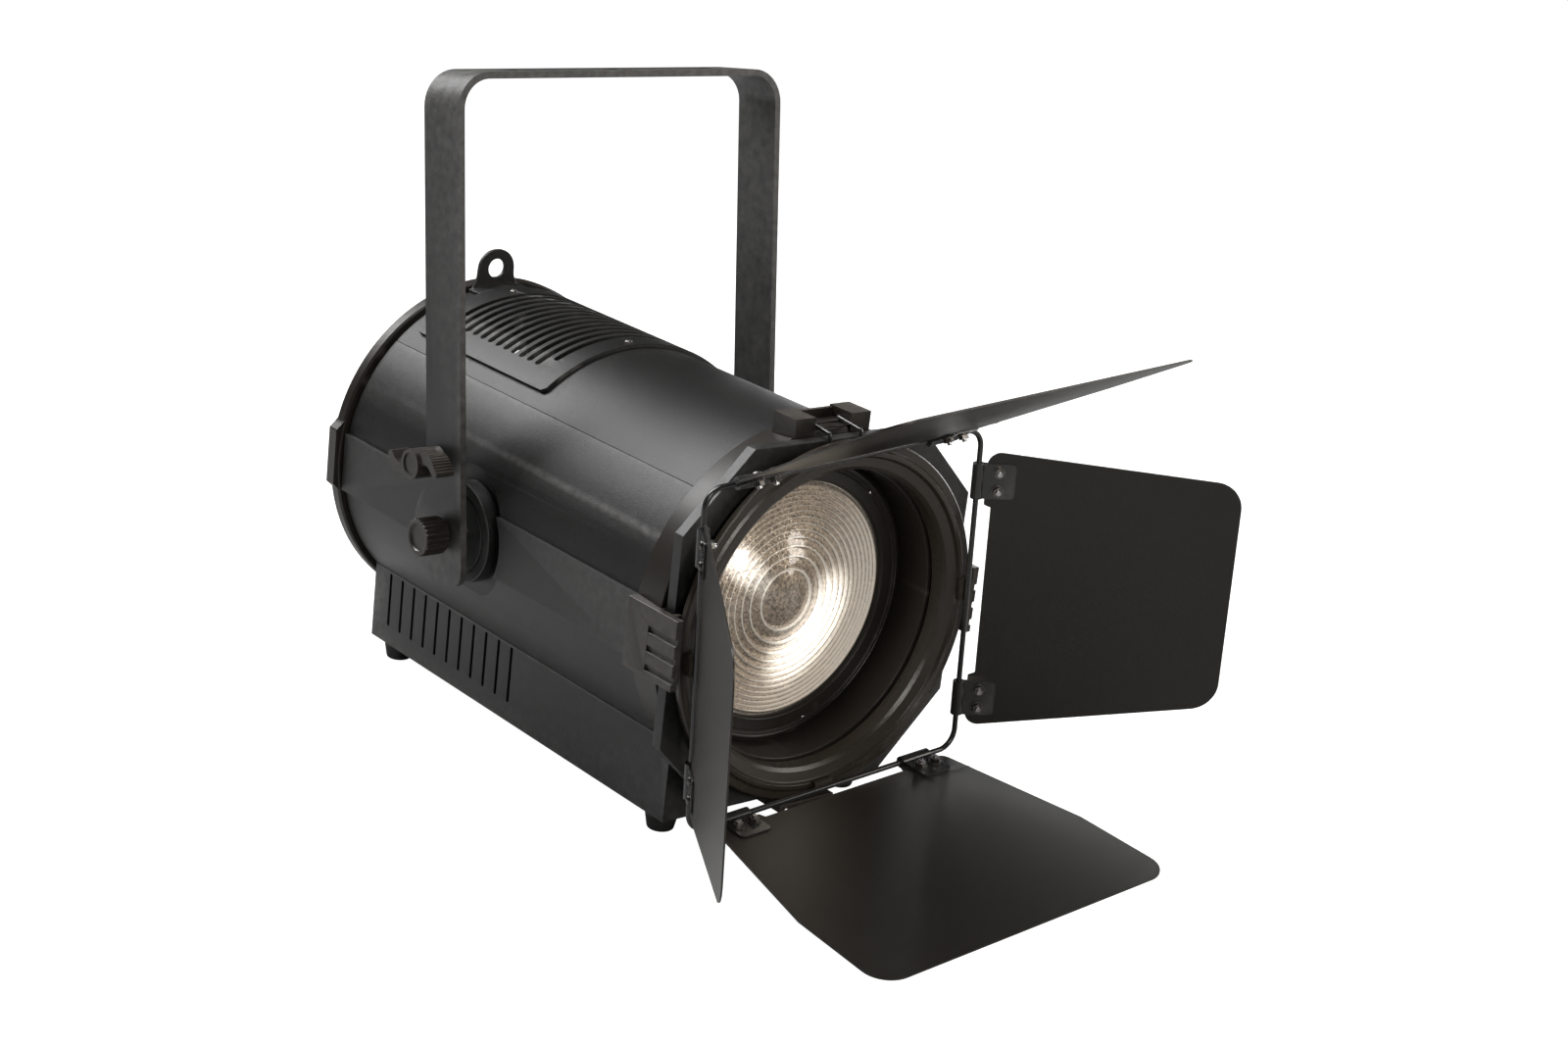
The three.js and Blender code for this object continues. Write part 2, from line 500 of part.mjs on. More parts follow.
// The left leaf is cut back further at the free corner that hangs lowest.
const leafOutline = {
  right: sideLeaf(-86.5, 86.5), left: sideLeaf(-90, 74), top: wideLeaf, bottom: wideLeaf,
};
const screwAt = [CLIP.at - 7, CLIP.at + 7];
function leafBody(outline) {
  const holes = sides.flatMap((s) => screwAt.map((z) => rod('y', -2, 2, 2.2, 14.5, s * z, 8)));
  return cut(slab(outline, -LEAF.t / 2, LEAF.t / 2), holes);
}
function hingeClip(s) {
  const z0 = Math.min(s * (CLIP.at - CLIP.w / 2), s * (CLIP.at + CLIP.w / 2));
  const z1 = z0 + CLIP.w;
  const y0 = LEAF.t / 2 + GAP;
  const y1 = y0 + CLIP.sheet;
  const face = rounded([[0, z0, 0], [CLIP.d, z0, 4], [CLIP.d, z1, 4], [0, z1, 0]], 2);
  const body = cut(
    union(rod('z', z0, z1, CLIP.eye, 0, 0, 8), slab(face, y0, y1), slab(face, -y1, -y0)),
    rod('z', z0 - 1, z1 + 1, ROD.r + GAP, 0, 0, 8),
    block(2.6, 12, -y0, y0, z0 - 1, z1 + 1));
  const screws = screwAt.flatMap((z) => [
    rod('y', -y1 - 2.2, y1 - 0.4, 1.9, 14.5, s * z, 6),
    rod('y', -y1 - 1.8, -y1 + 0.2, 3.2, 14.5, s * z, 6),
  ]);
  return union(body, screws);
}
// Swing a right-side body from the plate's plane towards the beam, hang it on its rod, then send it
// round to its own side of the ring.
const station = { right: 0, top: -90, left: 180, bottom: 90 };
function hang(body, side) {
  return turn(body.rotate([0, 0, -LEAF.open[side]]).translate([ROD.a, ROD.y, 0])
    .rotate([0, station[side], 0]));
}
for (const side of ['right', 'left', 'top', 'bottom']) {
  add(`leaf_${side}`, hang(leafBody(leafOutline[side]), side), 'leaf');
  add(`hinge_clip_${side}_a`, hang(hingeClip(1), side), 'zinc');
  add(`hinge_clip_${side}_b`, hang(hingeClip(-1), side), 'zinc');
}

// ---------------------------------------------------------------- pivot discs, yoke and knobs
// The yoke is drawn upright with its pivot at the origin, then leaned back and moved into place.
const lean = (body) => moved(body.rotate([-YOKE.lean, 0, 0]), 0, PIVOT.y, PIVOT.z);
sides.forEach((s) => {
  const x = [s * DISC.x0, s * DISC.x1];
  add(s < 0 ? 'pivot_disc_left' : 'pivot_disc_right', cut(union(
    rod('x', x[0], x[1] - s * 1.2, DISC.r, PIVOT.y, PIVOT.z, 24),
    rod('x', x[1] - s * 1.3, x[1], DISC.r, PIVOT.y, PIVOT.z, 24, DISC.r - 1.2),
    rod('x', x[1] - s * 0.1, s * (YOKE.x - YOKE.t - GAP), DISC.hub, PIVOT.y, PIVOT.z, 20)),
  rod('x', -150, 150, 4.4, PIVOT.y, PIVOT.z, 12)), 'powder');
});

const inner = YOKE.x - YOKE.t;
const outline = (x, top, r) => rounded([[-x, -60, 0], [x, -60, 0], [x, top, r], [-x, top, r]], 5);
const strap = cut(
  slab(outline(YOKE.x, YOKE.top, YOKE.corner), -YOKE.half, YOKE.half),
  slab(outline(inner, YOKE.top - YOKE.t, YOKE.corner - YOKE.t), -60, 60));
// Each leg ends in a round foot, cut off flush with the leg's front edge.
const footArc = [];
for (let a = -112.5; a <= 112.5; a += 11.25) {
  footArc.push([YOKE.foot * Math.cos(rad(a)), YOKE.foot * Math.sin(rad(a)), 0]);
}
const footFront = Math.sqrt(YOKE.foot ** 2 - YOKE.half ** 2);
const footOutline = rounded([...footArc, [-YOKE.half, footFront, 0], [-YOKE.half, -footFront, 12]]);
const endPlates = [-YOKE.x, inner].map((x) => sidePlate(footOutline, x, x + YOKE.t));
const legEnds = cut(strap, block(-200, 200, -60, 60, -80, 0));
const nutBlocks = [[-inner - 1, -135], [135, inner + 1]].map(([x0, x1]) => block(x0, x1,
  WING.v - 9, WING.v + 9, WING.u - 18, WING.u + 13));
const barHoles = [-88, 0, 88].map((x) => rod('z', YOKE.top - 20, YOKE.top + 20, x ? 5.3 : 6.5, x, 0, 16));
const yoke = cut(union(legEnds, endPlates, nutBlocks), barHoles,
  rod('x', -200, 200, 4.4, 0, 0, 12),
  sides.map((s) => rod('x', s * 136.6, s * 200, 4.4, WING.v, WING.u, 12)));
add('yoke', lean(yoke), 'powder');

function flutedKnob(s) {
  const x = YOKE.x + GAP;
  const flutes = [];
  for (let i = 0; i < 8; i += 1) {
    const a = (2 * Math.PI * i) / 8;
    flutes.push(rod('x', x + 4, x + 24, 2, 14.6 * Math.cos(a), 14.6 * Math.sin(a), 5));
  }
  const head = cut(union(
    rod('x', x, x + 3, 9, 0, 0, 20, 13),
    rod('x', x + 2.9, x + 22.4, 14, 0, 0, 24)), flutes, rod('x', x + 20.6, x + 30, 9.5, 0, 0, 20));
  const body = union(head, rod('x', 119, x + 1, 4, 0, 0, 12));
  return s < 0 ? mirrorX(body) : body;
}
function wingKnob(s) {
  const x = YOKE.x + GAP;
  const wing = rounded([[-9, -9, 0], [9, -9, 0], [33, -2.5, 5], [33, 7.5, 5], [9, 9, 0], [-9, 9, 0],
    [-33, 7.5, 5], [-33, -2.5, 5]], 3);
  const wings = sidePlate(wing, x + 7.5, x + 22.5).rotate([7, 0, 0]);
  const body = union(wings, rod('x', x, x + 8, 9, 0, 0, 16, 11), rod('x', x + 7, x + 25, 11, 0, 0, 16),
    rod('x', 137.2, x + 1, 4, 0, 0, 12)).translate([0, WING.v, WING.u]);
  return s < 0 ? mirrorX(body) : body;
}
add('tilt_knob_left', lean(flutedKnob(-1)), 'plastic');
add('tilt_knob_right', lean(flutedKnob(1)), 'plastic');
add('clamp_knob_left', lean(wingKnob(-1)), 'plastic');
add('clamp_knob_right', lean(wingKnob(1)), 'plastic');

// ---------------------------------------------------------------- set down on the floor
const reach = new THREE.Box3().setFromObject(root);
const middle = reach.getCenter(new THREE.Vector3());
for (const item of root.children) item.geometry.translate(-middle.x, -middle.y, -reach.min.z);

export default root;
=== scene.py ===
# %% [markdown]
# # A fresnel spotlight with barndoors
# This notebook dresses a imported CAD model. The model fixes where every piece is and how it moves;
# the cells below give each visible piece its finer shape and its finish. Read it from the top:
# first the frame, then small workshop tools, then finishes, then the pieces from back to front.

import math

import bmesh
import bpy
from mathutils import Matrix, Vector
from mathutils.geometry import tessellate_polygon


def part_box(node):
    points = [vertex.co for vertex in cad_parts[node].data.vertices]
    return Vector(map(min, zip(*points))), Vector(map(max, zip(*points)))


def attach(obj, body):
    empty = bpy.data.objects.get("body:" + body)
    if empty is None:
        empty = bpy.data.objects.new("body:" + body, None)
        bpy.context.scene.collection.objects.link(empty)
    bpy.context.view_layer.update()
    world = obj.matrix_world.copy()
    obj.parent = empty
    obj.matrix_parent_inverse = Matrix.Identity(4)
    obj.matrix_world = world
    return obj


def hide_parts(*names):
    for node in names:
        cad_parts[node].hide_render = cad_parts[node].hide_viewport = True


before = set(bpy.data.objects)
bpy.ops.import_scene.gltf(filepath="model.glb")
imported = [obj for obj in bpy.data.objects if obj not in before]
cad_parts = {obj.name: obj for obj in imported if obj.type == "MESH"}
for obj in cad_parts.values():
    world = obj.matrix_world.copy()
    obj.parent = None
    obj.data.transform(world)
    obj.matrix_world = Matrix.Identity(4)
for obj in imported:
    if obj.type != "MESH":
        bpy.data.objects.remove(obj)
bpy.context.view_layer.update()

# %% [markdown]
# ## One set of lamp coordinates
# A lamp maker measures from the optical axis and the front of the door plate, in millimetres.
# Working in those numbers keeps every size readable, and one matrix at the end moves a finished
# mesh to its place in metres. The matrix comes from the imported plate, so nothing is fitted by eye.

# %% Lamp coordinates
MM = 0.001
plate_low, plate_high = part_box("barndoor_plate")
LAMP_ZERO = Vector(((plate_low.x + plate_high.x) / 2, plate_low.y, (plate_low.z + plate_high.z) / 2))
TO_ROW = Matrix.Translation(LAMP_ZERO) @ Matrix.Scale(MM, 4)
STAY = Matrix.Identity(4)


def turn(degrees, axis):
    return Matrix.Rotation(math.radians(degrees), 4, axis)


def shift(x, y, z):
    return Matrix.Translation((x, y, z))


print("lamp zero in metres:", [round(c, 4) for c in LAMP_ZERO])

# %% [markdown]
# ## The camera
# The camera goes in first, because every later choice is judged through it. It stands to the
# lamp's front left, about one and a half metres off, looks down a little and is rolled a few
# degrees. Its axes are worked out from two angles and the roll, then written into its matrix.

# %% Camera
CAMERA_AT = (-1145.72, -1217.72, 615.99)
CAMERA_AZIMUTH, CAMERA_ELEVATION, CAMERA_ROLL = -42.1494, 18.2414, 6.9269
FRAME_WIDTH, FOCAL_FOR_WIDTH, SENSOR = 1600, 2624.02, 36.0


def camera_axes():
    a, e, r = (math.radians(d) for d in (CAMERA_AZIMUTH, CAMERA_ELEVATION, CAMERA_ROLL))
    back = Vector((math.sin(a) * math.cos(e), -math.cos(a) * math.cos(e), math.sin(e)))
    right = (-back).cross(Vector((0, 0, 1))).normalized()
    up = right.cross(-back)
    return (right * math.cos(r) + up * math.sin(r), up * math.cos(r) - right * math.sin(r), back)


camera = bpy.data.objects.new("camera", bpy.data.cameras.new("camera"))
bpy.context.scene.collection.objects.link(camera)
camera.data.sensor_width = SENSOR
camera.data.lens = FOCAL_FOR_WIDTH / FRAME_WIDTH * SENSOR
camera.data.clip_start, camera.data.clip_end = 0.05, 60
camera_turn = Matrix(camera_axes()).transposed().to_4x4()
camera.matrix_world = Matrix.Translation(TO_ROW @ Vector(CAMERA_AT)) @ camera_turn
bpy.context.scene.camera = camera
print("lens:", round(camera.data.lens, 2), "mm")

# %% [markdown]
# ## Workshop tools: meshes
# Four small tools make most shapes. `body_from` makes an object from points and faces. `settled`
# works an object's modifiers into its mesh. `closed_up` welds seams and turns faces outwards.
# `eased` rounds edges, since no real edge is perfectly sharp and the small radius catches light.

# %% Mesh tools
def body_from(name, points, faces=(), edges=()):
    mesh = bpy.data.meshes.new(name)
    mesh.from_pydata([tuple(p) for p in points], list(edges), list(faces))
    mesh.update()
    item = bpy.data.objects.new(name, mesh)
    bpy.context.scene.collection.objects.link(item)
    return item


def settled(item):
    depsgraph = bpy.context.evaluated_depsgraph_get()
    mesh = bpy.data.meshes.new_from_object(
        item.evaluated_get(depsgraph), preserve_all_data_layers=True, depsgraph=depsgraph)
    item.modifiers.clear()
    item.data = mesh
    return item


def closed_up(item, weld=0.002):
    work = bmesh.new()
    work.from_mesh(item.data)
    bmesh.ops.remove_doubles(work, verts=work.verts, dist=weld)
    bmesh.ops.dissolve_degenerate(work, dist=weld / 4, edges=work.edges)
    bmesh.ops.recalc_face_normals(work, faces=work.faces)
    work.to_mesh(item.data)
    work.free()
    return item


def eased(item, width, segments=2, sharper_than=32):
    bevel = item.modifiers.new("eased_edges", "BEVEL")
    bevel.width = width
    bevel.segments = segments
    bevel.limit_method = "ANGLE"
    bevel.angle_limit = math.radians(sharper_than)
    bevel.miter_outer = "MITER_ARC"
    return closed_up(settled(item), 0.001)


def combined(item, others, operation):
    for other in others:
        step = item.modifiers.new(operation.lower(), "BOOLEAN")
        step.operation = operation
        step.solver = "EXACT"
        step.object = other
        settled(item)
        bpy.data.objects.remove(other)
    return closed_up(item)


def minus(item, *tools):
    return combined(item, tools, "DIFFERENCE")


def plus(item, *others):
    return combined(item, others, "UNION")


def within(item, other):
    return combined(item, [other], "INTERSECT")


def moved(item, *matrices):
    for matrix in matrices:
        item.data.transform(matrix)
        if matrix.determinant() < 0:
            item.data.flip_normals()
    return item


print("mesh tools ready")

# %% [markdown]
# ## Workshop tools: outlines, prisms and sheets
# Sheet metal starts as a flat outline. `rounded` turns corners into arcs, `prism` pushes an
# outline (with holes) through a thickness, and `rolled` bends a flat sheet about the optical axis.
# Bending last means that slots and edges are drawn flat, the way a press tool would cut them.

# %% Outline tools
def rounded(corners, steps=6):
    out = []
    count = len(corners)
    for i, (x, z, r) in enumerate(corners):
        here = Vector((x, z))
        if not r:
            out.append((x, z))
            continue
        before = (Vector(corners[i - 1][:2]) - here).normalized()
        after = (Vector(corners[(i + 1) % count][:2]) - here).normalized()
        half = math.acos(max(-1.0, min(1.0, before.dot(after)))) / 2
        centre = here + (before + after).normalized() * (r / math.sin(half))
        start = here + before * (r / math.tan(half)) - centre
        end = here + after * (r / math.tan(half)) - centre
        a0, a1 = math.atan2(start.y, start.x), math.atan2(end.y, end.x)
        sweep = (a1 - a0 + math.pi) % (2 * math.pi) - math.pi
        for k in range(steps + 1):
            a = a0 + sweep * k / steps
            out.append((centre.x + r * math.cos(a), centre.y + r * math.sin(a)))
    return out


def circle(x, z, r, segments=32):
    turns = [2 * math.pi * k / segments for k in range(segments)]
    return [(x + r * math.cos(a), z + r * math.sin(a)) for a in turns]


def box_outline(x0, x1, z0, z1, r=0.0, steps=4):
    return rounded([(x0, z0, r), (x1, z0, r), (x1, z1, r), (x0, z1, r)], steps)


AIM = {"x": lambda u, s, v: (s, u, v), "y": lambda u, s, v: (u, s, v), "z": lambda u, s, v: (u, v, s)}


def prism(outline, start, end, holes=(), along="y", name="prism"):
    loops = [list(outline), *(list(h) for h in holes)]
    flat = [p for loop in loops for p in loop]
    count = len(flat)
    aim = AIM[along]
    points = [aim(u, start, v) for u, v in flat] + [aim(u, end, v) for u, v in flat]
    if holes:
        caps = tessellate_polygon([[Vector((u, v, 0)) for u, v in loop] for loop in loops])
    else:
        caps = [tuple(range(count))]
    faces = [tuple(c) for c in caps] + [tuple(i + count for i in reversed(c)) for c in caps]
    first = 0
    for loop in loops:
        size = len(loop)
        for i in range(size):
            a, b = first + i, first + (i + 1) % size
            faces.append((a, b, b + count, a + count))
        first += size
    return closed_up(body_from(name, points, faces))


def block(x0, x1, y0, y1, z0, z1):
    return prism([(x0, z0), (x1, z0), (x1, z1), (x0, z1)], y0, y1)


def rolled(item, radius, step=2.0):
    """x is the length round the axis at this radius, z the height above it."""
    work = bmesh.new()
    work.from_mesh(item.data)
    reach = max(abs(v.co.x) for v in work.verts)
    pitch = math.radians(step) * radius
    for k in range(-int(reach / pitch), int(reach / pitch) + 1):
        everything = work.verts[:] + work.edges[:] + work.faces[:]
        bmesh.ops.bisect_plane(work, geom=everything, plane_co=(k * pitch, 0, 0), plane_no=(1, 0, 0))
    for v in work.verts:
        a, r = v.co.x / radius, radius + v.co.z
        v.co = (r * math.sin(a), v.co.y, r * math.cos(a))
    bmesh.ops.recalc_face_normals(work, faces=work.faces)
    work.to_mesh(item.data)
    work.free()
    return item


print("outline tools ready")

# %% [markdown]
# ## Workshop tools: wiring a node tree
# Geometry Nodes and shader groups are both node trees. `wired` adds one node, sets its options and
# links or fills its sockets; `sockets_of` declares a tree's named inputs and outputs; `through`
# puts a tree on an object and fills its inputs by identifier before anything is evaluated.

# %% Node tools
def sockets_of(tree, inputs, outputs):
    for direction, rows in (("INPUT", inputs), ("OUTPUT", outputs)):
        for name, kind, *default in rows:
            socket = tree.interface.new_socket(name, in_out=direction, socket_type="NodeSocket" + kind)
            if default:
                socket.default_value = default[0]
    start, end = tree.nodes.new("NodeGroupInput"), tree.nodes.new("NodeGroupOutput")
    start.location, end.location = (-300, 0), (2400, 0)
    return start.outputs, end.inputs


def wired(tree, kind, settings=None, **sockets):
    node = tree.nodes.new(kind)
    node.location = (180 * (len(tree.nodes) % 12), -260 * (len(tree.nodes) // 12))
    for key, value in (settings or {}).items():
        setattr(node, key, value)
    for key, value in sockets.items():
        where = int(key[1:]) if key[1:].isdigit() else key.replace("_", " ")
        if isinstance(value, bpy.types.NodeSocket):
            tree.links.new(value, node.inputs[where])
        else:
            node.inputs[where].default_value = value
    return node


def sum_of(tree, operation, *values):
    """One math node; its inputs are numbers or sockets."""
    slots = {f"v{i}": v for i, v in enumerate(values)}
    return wired(tree, "ShaderNodeMath", {"operation": operation}, **slots).outputs[0]


def through(item, tree, **values):
    step = item.modifiers.new(tree.name, "NODES")
    step.node_group = tree
    for socket in tree.interface.items_tree:
        key = socket.name.replace(" ", "_").lower()
        if socket.in_out == "INPUT" and key in values:
            step[socket.identifier] = values.pop(key)
    if values:
        raise ValueError(f"{tree.name} has no input {sorted(values)}")
    return settled(item)


def last_steps(tree, shape, material, out):
    real = wired(tree, "GeometryNodeRealizeInstances", Geometry=shape)
    dressed = wired(tree, "GeometryNodeSetMaterial", Geometry=real.outputs[0], Material=material)
    tree.links.new(dressed.outputs[0], out)


print("node tools ready")

# %% [markdown]
# ## Tree 1: turning on a lathe
# The collar, rings, cap, knobs, feet and lens are all turned parts: one profile swept round one
# axis. The tree takes the profile as a line of points (radius, height), lays out a grid with one
# column for each step round, and reads the profile by index to place every grid point.

# %% Lathe tree
lathe = bpy.data.node_groups.new("turned_body", "GeometryNodeTree")
given, made = sockets_of(
    lathe,
    [("Profile", "Geometry"), ("Points", "Int", 8), ("Segments", "Int", 96), ("Material", "Material")],
    [("Geometry", "Geometry")])
columns = sum_of(lathe, "ADD", given["Segments"], 1)
grid = wired(lathe, "GeometryNodeMeshGrid", Size_X=1.0, Size_Y=1.0, Vertices_X=columns,
    Vertices_Y=given["Points"])
where = wired(lathe, "ShaderNodeSeparateXYZ", Vector=wired(lathe, "GeometryNodeInputPosition").outputs[0])
last_point = sum_of(lathe, "SUBTRACT", given["Points"], 1)
row = sum_of(lathe, "ROUND", sum_of(lathe, "MULTIPLY", sum_of(lathe, "ADD", where.outputs["Y"], 0.5),
    last_point))
read = wired(lathe, "GeometryNodeSampleIndex", {"data_type": "FLOAT_VECTOR", "domain": "POINT"},
             Geometry=given["Profile"], Index=row, Value=wired(lathe, "GeometryNodeInputPosition").outputs[0])
spot = wired(lathe, "ShaderNodeSeparateXYZ", Vector=read.outputs[0])
angle = sum_of(lathe, "MULTIPLY", sum_of(lathe, "ADD", where.outputs["X"], 0.5), 2 * math.pi)
placed = wired(
    lathe, "ShaderNodeCombineXYZ",
    X=sum_of(lathe, "MULTIPLY", spot.outputs["X"], sum_of(lathe, "SINE", angle)), Y=spot.outputs["Y"],
    Z=sum_of(lathe, "MULTIPLY", spot.outputs["X"], sum_of(lathe, "COSINE", angle)))
formed = wired(lathe, "GeometryNodeSetPosition", Geometry=grid.outputs["Mesh"], Position=placed.outputs[0])
welded = wired(lathe, "GeometryNodeMergeByDistance", Geometry=formed.outputs[0], Distance=0.002)
last_steps(lathe, welded.outputs[0], given["Material"], made["Geometry"])


def turned(profile, segments=96, steps=3, name="turned", loop=True):
    """Profile entries are (radius, height, corner radius), about the Y axis."""
    line = rounded([(*p, 0)[:3] for p in profile], steps)
    if loop:
        line.append(line[0])
    points = [(max(0.0, r), y, 0) for r, y in line]
    item = body_from(name, points, edges=[(i, i + 1) for i in range(len(points) - 1)])
    return closed_up(through(item, lathe, points=len(points), segments=segments))


def drum(along, start, end, r, c1=0.0, c2=0.0, segments=48):
    """A plain cylinder along one axis, centred on the two other coordinates."""
    return prism(circle(c1, c2, r, segments), start, end, along=along)


print("lathe tree:", len(lathe.nodes), "nodes")

# %% [markdown]
# ## Tree 2: bar and strap bent along a path
# The rod frame, the latch wire and the yoke are all straight stock bent at a few corners. The tree
# rounds the corners of a line of points and sweeps a section along it, either a round bar or a
# flat strap, so the bend radius and the stock size stay two separate numbers.

# %% Bent stock tree
bending = bpy.data.node_groups.new("bent_stock", "GeometryNodeTree")
given, made = sockets_of(
    bending,
    [("Path", "Geometry"), ("Bend", "Float", 10.0), ("Bend Steps", "Int", 10), ("Width", "Float", 4.0),
     ("Thickness", "Float", 4.0), ("Round", "Bool", True), ("Material", "Material")],
    [("Geometry", "Geometry")])
path = wired(bending, "GeometryNodeMeshToCurve", Mesh=given["Path"])
soft = wired(bending, "GeometryNodeFilletCurve", {"mode": "POLY"}, Curve=path.outputs[0],
             Count=given["Bend Steps"], Radius=given["Bend"], Limit_Radius=True)
dot = wired(bending, "GeometryNodeCurvePrimitiveCircle", {"mode": "RADIUS"}, Resolution=20,
            Radius=sum_of(bending, "MULTIPLY", given["Width"], 0.5))
flat = wired(bending, "GeometryNodeCurvePrimitiveQuadrilateral", {"mode": "RECTANGLE"},
             Width=given["Width"], Height=given["Thickness"])
section = wired(bending, "GeometryNodeSwitch", {"input_type": "GEOMETRY"}, Switch=given["Round"],
                s1=flat.outputs[0], s2=dot.outputs[0])
swept = wired(bending, "GeometryNodeCurveToMesh", Curve=soft.outputs[0],
              Profile_Curve=section.outputs[0], Fill_Caps=True)
last_steps(bending, swept.outputs[0], given["Material"], made["Geometry"])


def bent_bar(points, bend, size, thickness=None, closed=False, steps=10):
    edges = [(i, i + 1) for i in range(len(points) - 1)] + ([(len(points) - 1, 0)] if closed else [])
    item = body_from("bent_bar", points, edges=edges)
    return closed_up(through(item, bending, bend=bend, bend_steps=steps, width=size,
                             thickness=thickness or size, round=thickness is None))


print("bent stock tree:", len(bending.nodes), "nodes")

# %% [markdown]
# ## Tree 3: a row of slots
# Cooling slots are the same tool struck again and again at one pitch. The tree makes one slot
# punch with rounded ends, copies it along a line and takes the whole row out of the sheet with
# one boolean, so count, pitch and size can be changed without drawing anything.

# %% Slot row tree
punch = bpy.data.node_groups.new("slot_row", "GeometryNodeTree")
given, made = sockets_of(
    punch,
    [("Sheet", "Geometry"), ("Length", "Float", 40.0), ("Width", "Float", 3.0), ("Depth", "Float", 12.0),
     ("Count", "Int", 3), ("First", "Vector"), ("Pitch", "Vector"), ("Turn", "Vector"),
     ("Material", "Material")],
    [("Geometry", "Geometry")])
slot_line = wired(punch, "GeometryNodeCurvePrimitiveQuadrilateral", {"mode": "RECTANGLE"},
                  Width=given["Length"], Height=given["Width"])
slot_ends = wired(punch, "GeometryNodeFilletCurve", {"mode": "POLY"}, Curve=slot_line.outputs[0], Count=5,
                  Radius=sum_of(punch, "MULTIPLY", given["Width"], 0.46), Limit_Radius=True)
slot_face = wired(punch, "GeometryNodeFillCurve", {"mode": "NGONS"}, Curve=slot_ends.outputs[0])
half_depth = sum_of(punch, "MULTIPLY", given["Depth"], 0.5)
down = wired(punch, "ShaderNodeCombineXYZ", Z=sum_of(punch, "MULTIPLY", half_depth, -1.0))
lowered = wired(punch, "GeometryNodeTransform", Geometry=slot_face.outputs[0], Translation=down.outputs[0])
pushed = wired(punch, "GeometryNodeExtrudeMesh", {"mode": "FACES"}, Mesh=lowered.outputs[0],
               Offset=wired(punch, "ShaderNodeCombineXYZ", Z=1.0).outputs[0],
               Offset_Scale=given["Depth"], Individual=False)
under = wired(punch, "GeometryNodeFlipFaces", Mesh=lowered.outputs[0])
both = wired(punch, "GeometryNodeJoinGeometry", Geometry=pushed.outputs["Mesh"])
punch.links.new(under.outputs[0], both.inputs[0])
tool = wired(punch, "GeometryNodeMergeByDistance", Geometry=both.outputs[0], Distance=0.001)
aimed = wired(punch, "GeometryNodeTransform", Geometry=tool.outputs[0], Rotation=given["Turn"])
stops = wired(punch, "GeometryNodeMeshLine", {"mode": "OFFSET"}, Count=given["Count"],
              Start_Location=given["First"], Offset=given["Pitch"])
row_of_tools = wired(punch, "GeometryNodeInstanceOnPoints", Points=stops.outputs[0],
    Instance=aimed.outputs[0])
real_tools = wired(punch, "GeometryNodeRealizeInstances", Geometry=row_of_tools.outputs[0])
struck = wired(punch, "GeometryNodeMeshBoolean", {"operation": "DIFFERENCE", "solver": "EXACT"},
               i0=given["Sheet"], i1=real_tools.outputs[0])
last_steps(punch, struck.outputs[0], given["Material"], made["Geometry"])


def slotted(item, length, width, depth, count, first, pitch, lie=(0, 0, 0)):
    return closed_up(through(item, punch, length=length, width=width, depth=depth, count=count,
                             first=first, pitch=pitch, turn=[math.radians(d) for d in lie]))


print("slot row tree:", len(punch.nodes), "nodes")

# %% [markdown]
# ## Tree 4: screws on their seats
# Every screw on the lamp is one of a few heads, seen many times. The tree puts a head on each
# point it is given, stands it along that point's `facing` direction and spins it by a seeded
# amount, because hand-driven screws never stop with their slots in line. With no spin the same
# tree sets the ribs of a grip in order.

# %% Screw tree
screwing = bpy.data.node_groups.new("seated_screws", "GeometryNodeTree")
given, made = sockets_of(
    screwing,
    [("Seats", "Geometry"), ("Head", "Object"), ("Size", "Float", 1.0), ("Spin", "Float", 2 * math.pi),
     ("Seed", "Int", 1), ("Material", "Material")],
    [("Geometry", "Geometry")])
facing = wired(screwing, "GeometryNodeInputNamedAttribute", {"data_type": "FLOAT_VECTOR"}, Name="facing")
upright = wired(screwing, "FunctionNodeAlignRotationToVector", {"axis": "Z"}, Vector=facing.outputs[0])
spin = wired(screwing, "FunctionNodeRandomValue", {"data_type": "FLOAT"}, i2=0.0, i3=given["Spin"],
             Seed=given["Seed"])
spun = wired(screwing, "FunctionNodeRotateRotation", {"rotation_space": "LOCAL"}, Rotation=upright.outputs[0],
             Rotate_By=wired(screwing, "ShaderNodeCombineXYZ", Z=spin.outputs[1]).outputs[0])
head = wired(screwing, "GeometryNodeObjectInfo", {"transform_space": "ORIGINAL"}, Object=given["Head"],
             As_Instance=True)
seated = wired(screwing, "GeometryNodeInstanceOnPoints", Points=given["Seats"],
               Instance=head.outputs["Geometry"], Rotation=spun.outputs[0], Scale=given["Size"])
last_steps(screwing, seated.outputs[0], given["Material"], made["Geometry"])


def seated(head_object, seats, size=1.0, seed=1, spin=2 * math.pi):
    """Seats are (point, direction) pairs in lamp coordinates."""
    item = body_from("seated", [p for p, _ in seats])
    facing_data = item.data.attributes.new("facing", "FLOAT_VECTOR", "POINT")
    for i, (_, direction) in enumerate(seats):
        facing_data.data[i].vector = Vector(direction).normalized()
    return through(item, screwing, head=head_object, size=size, spin=spin, seed=seed)


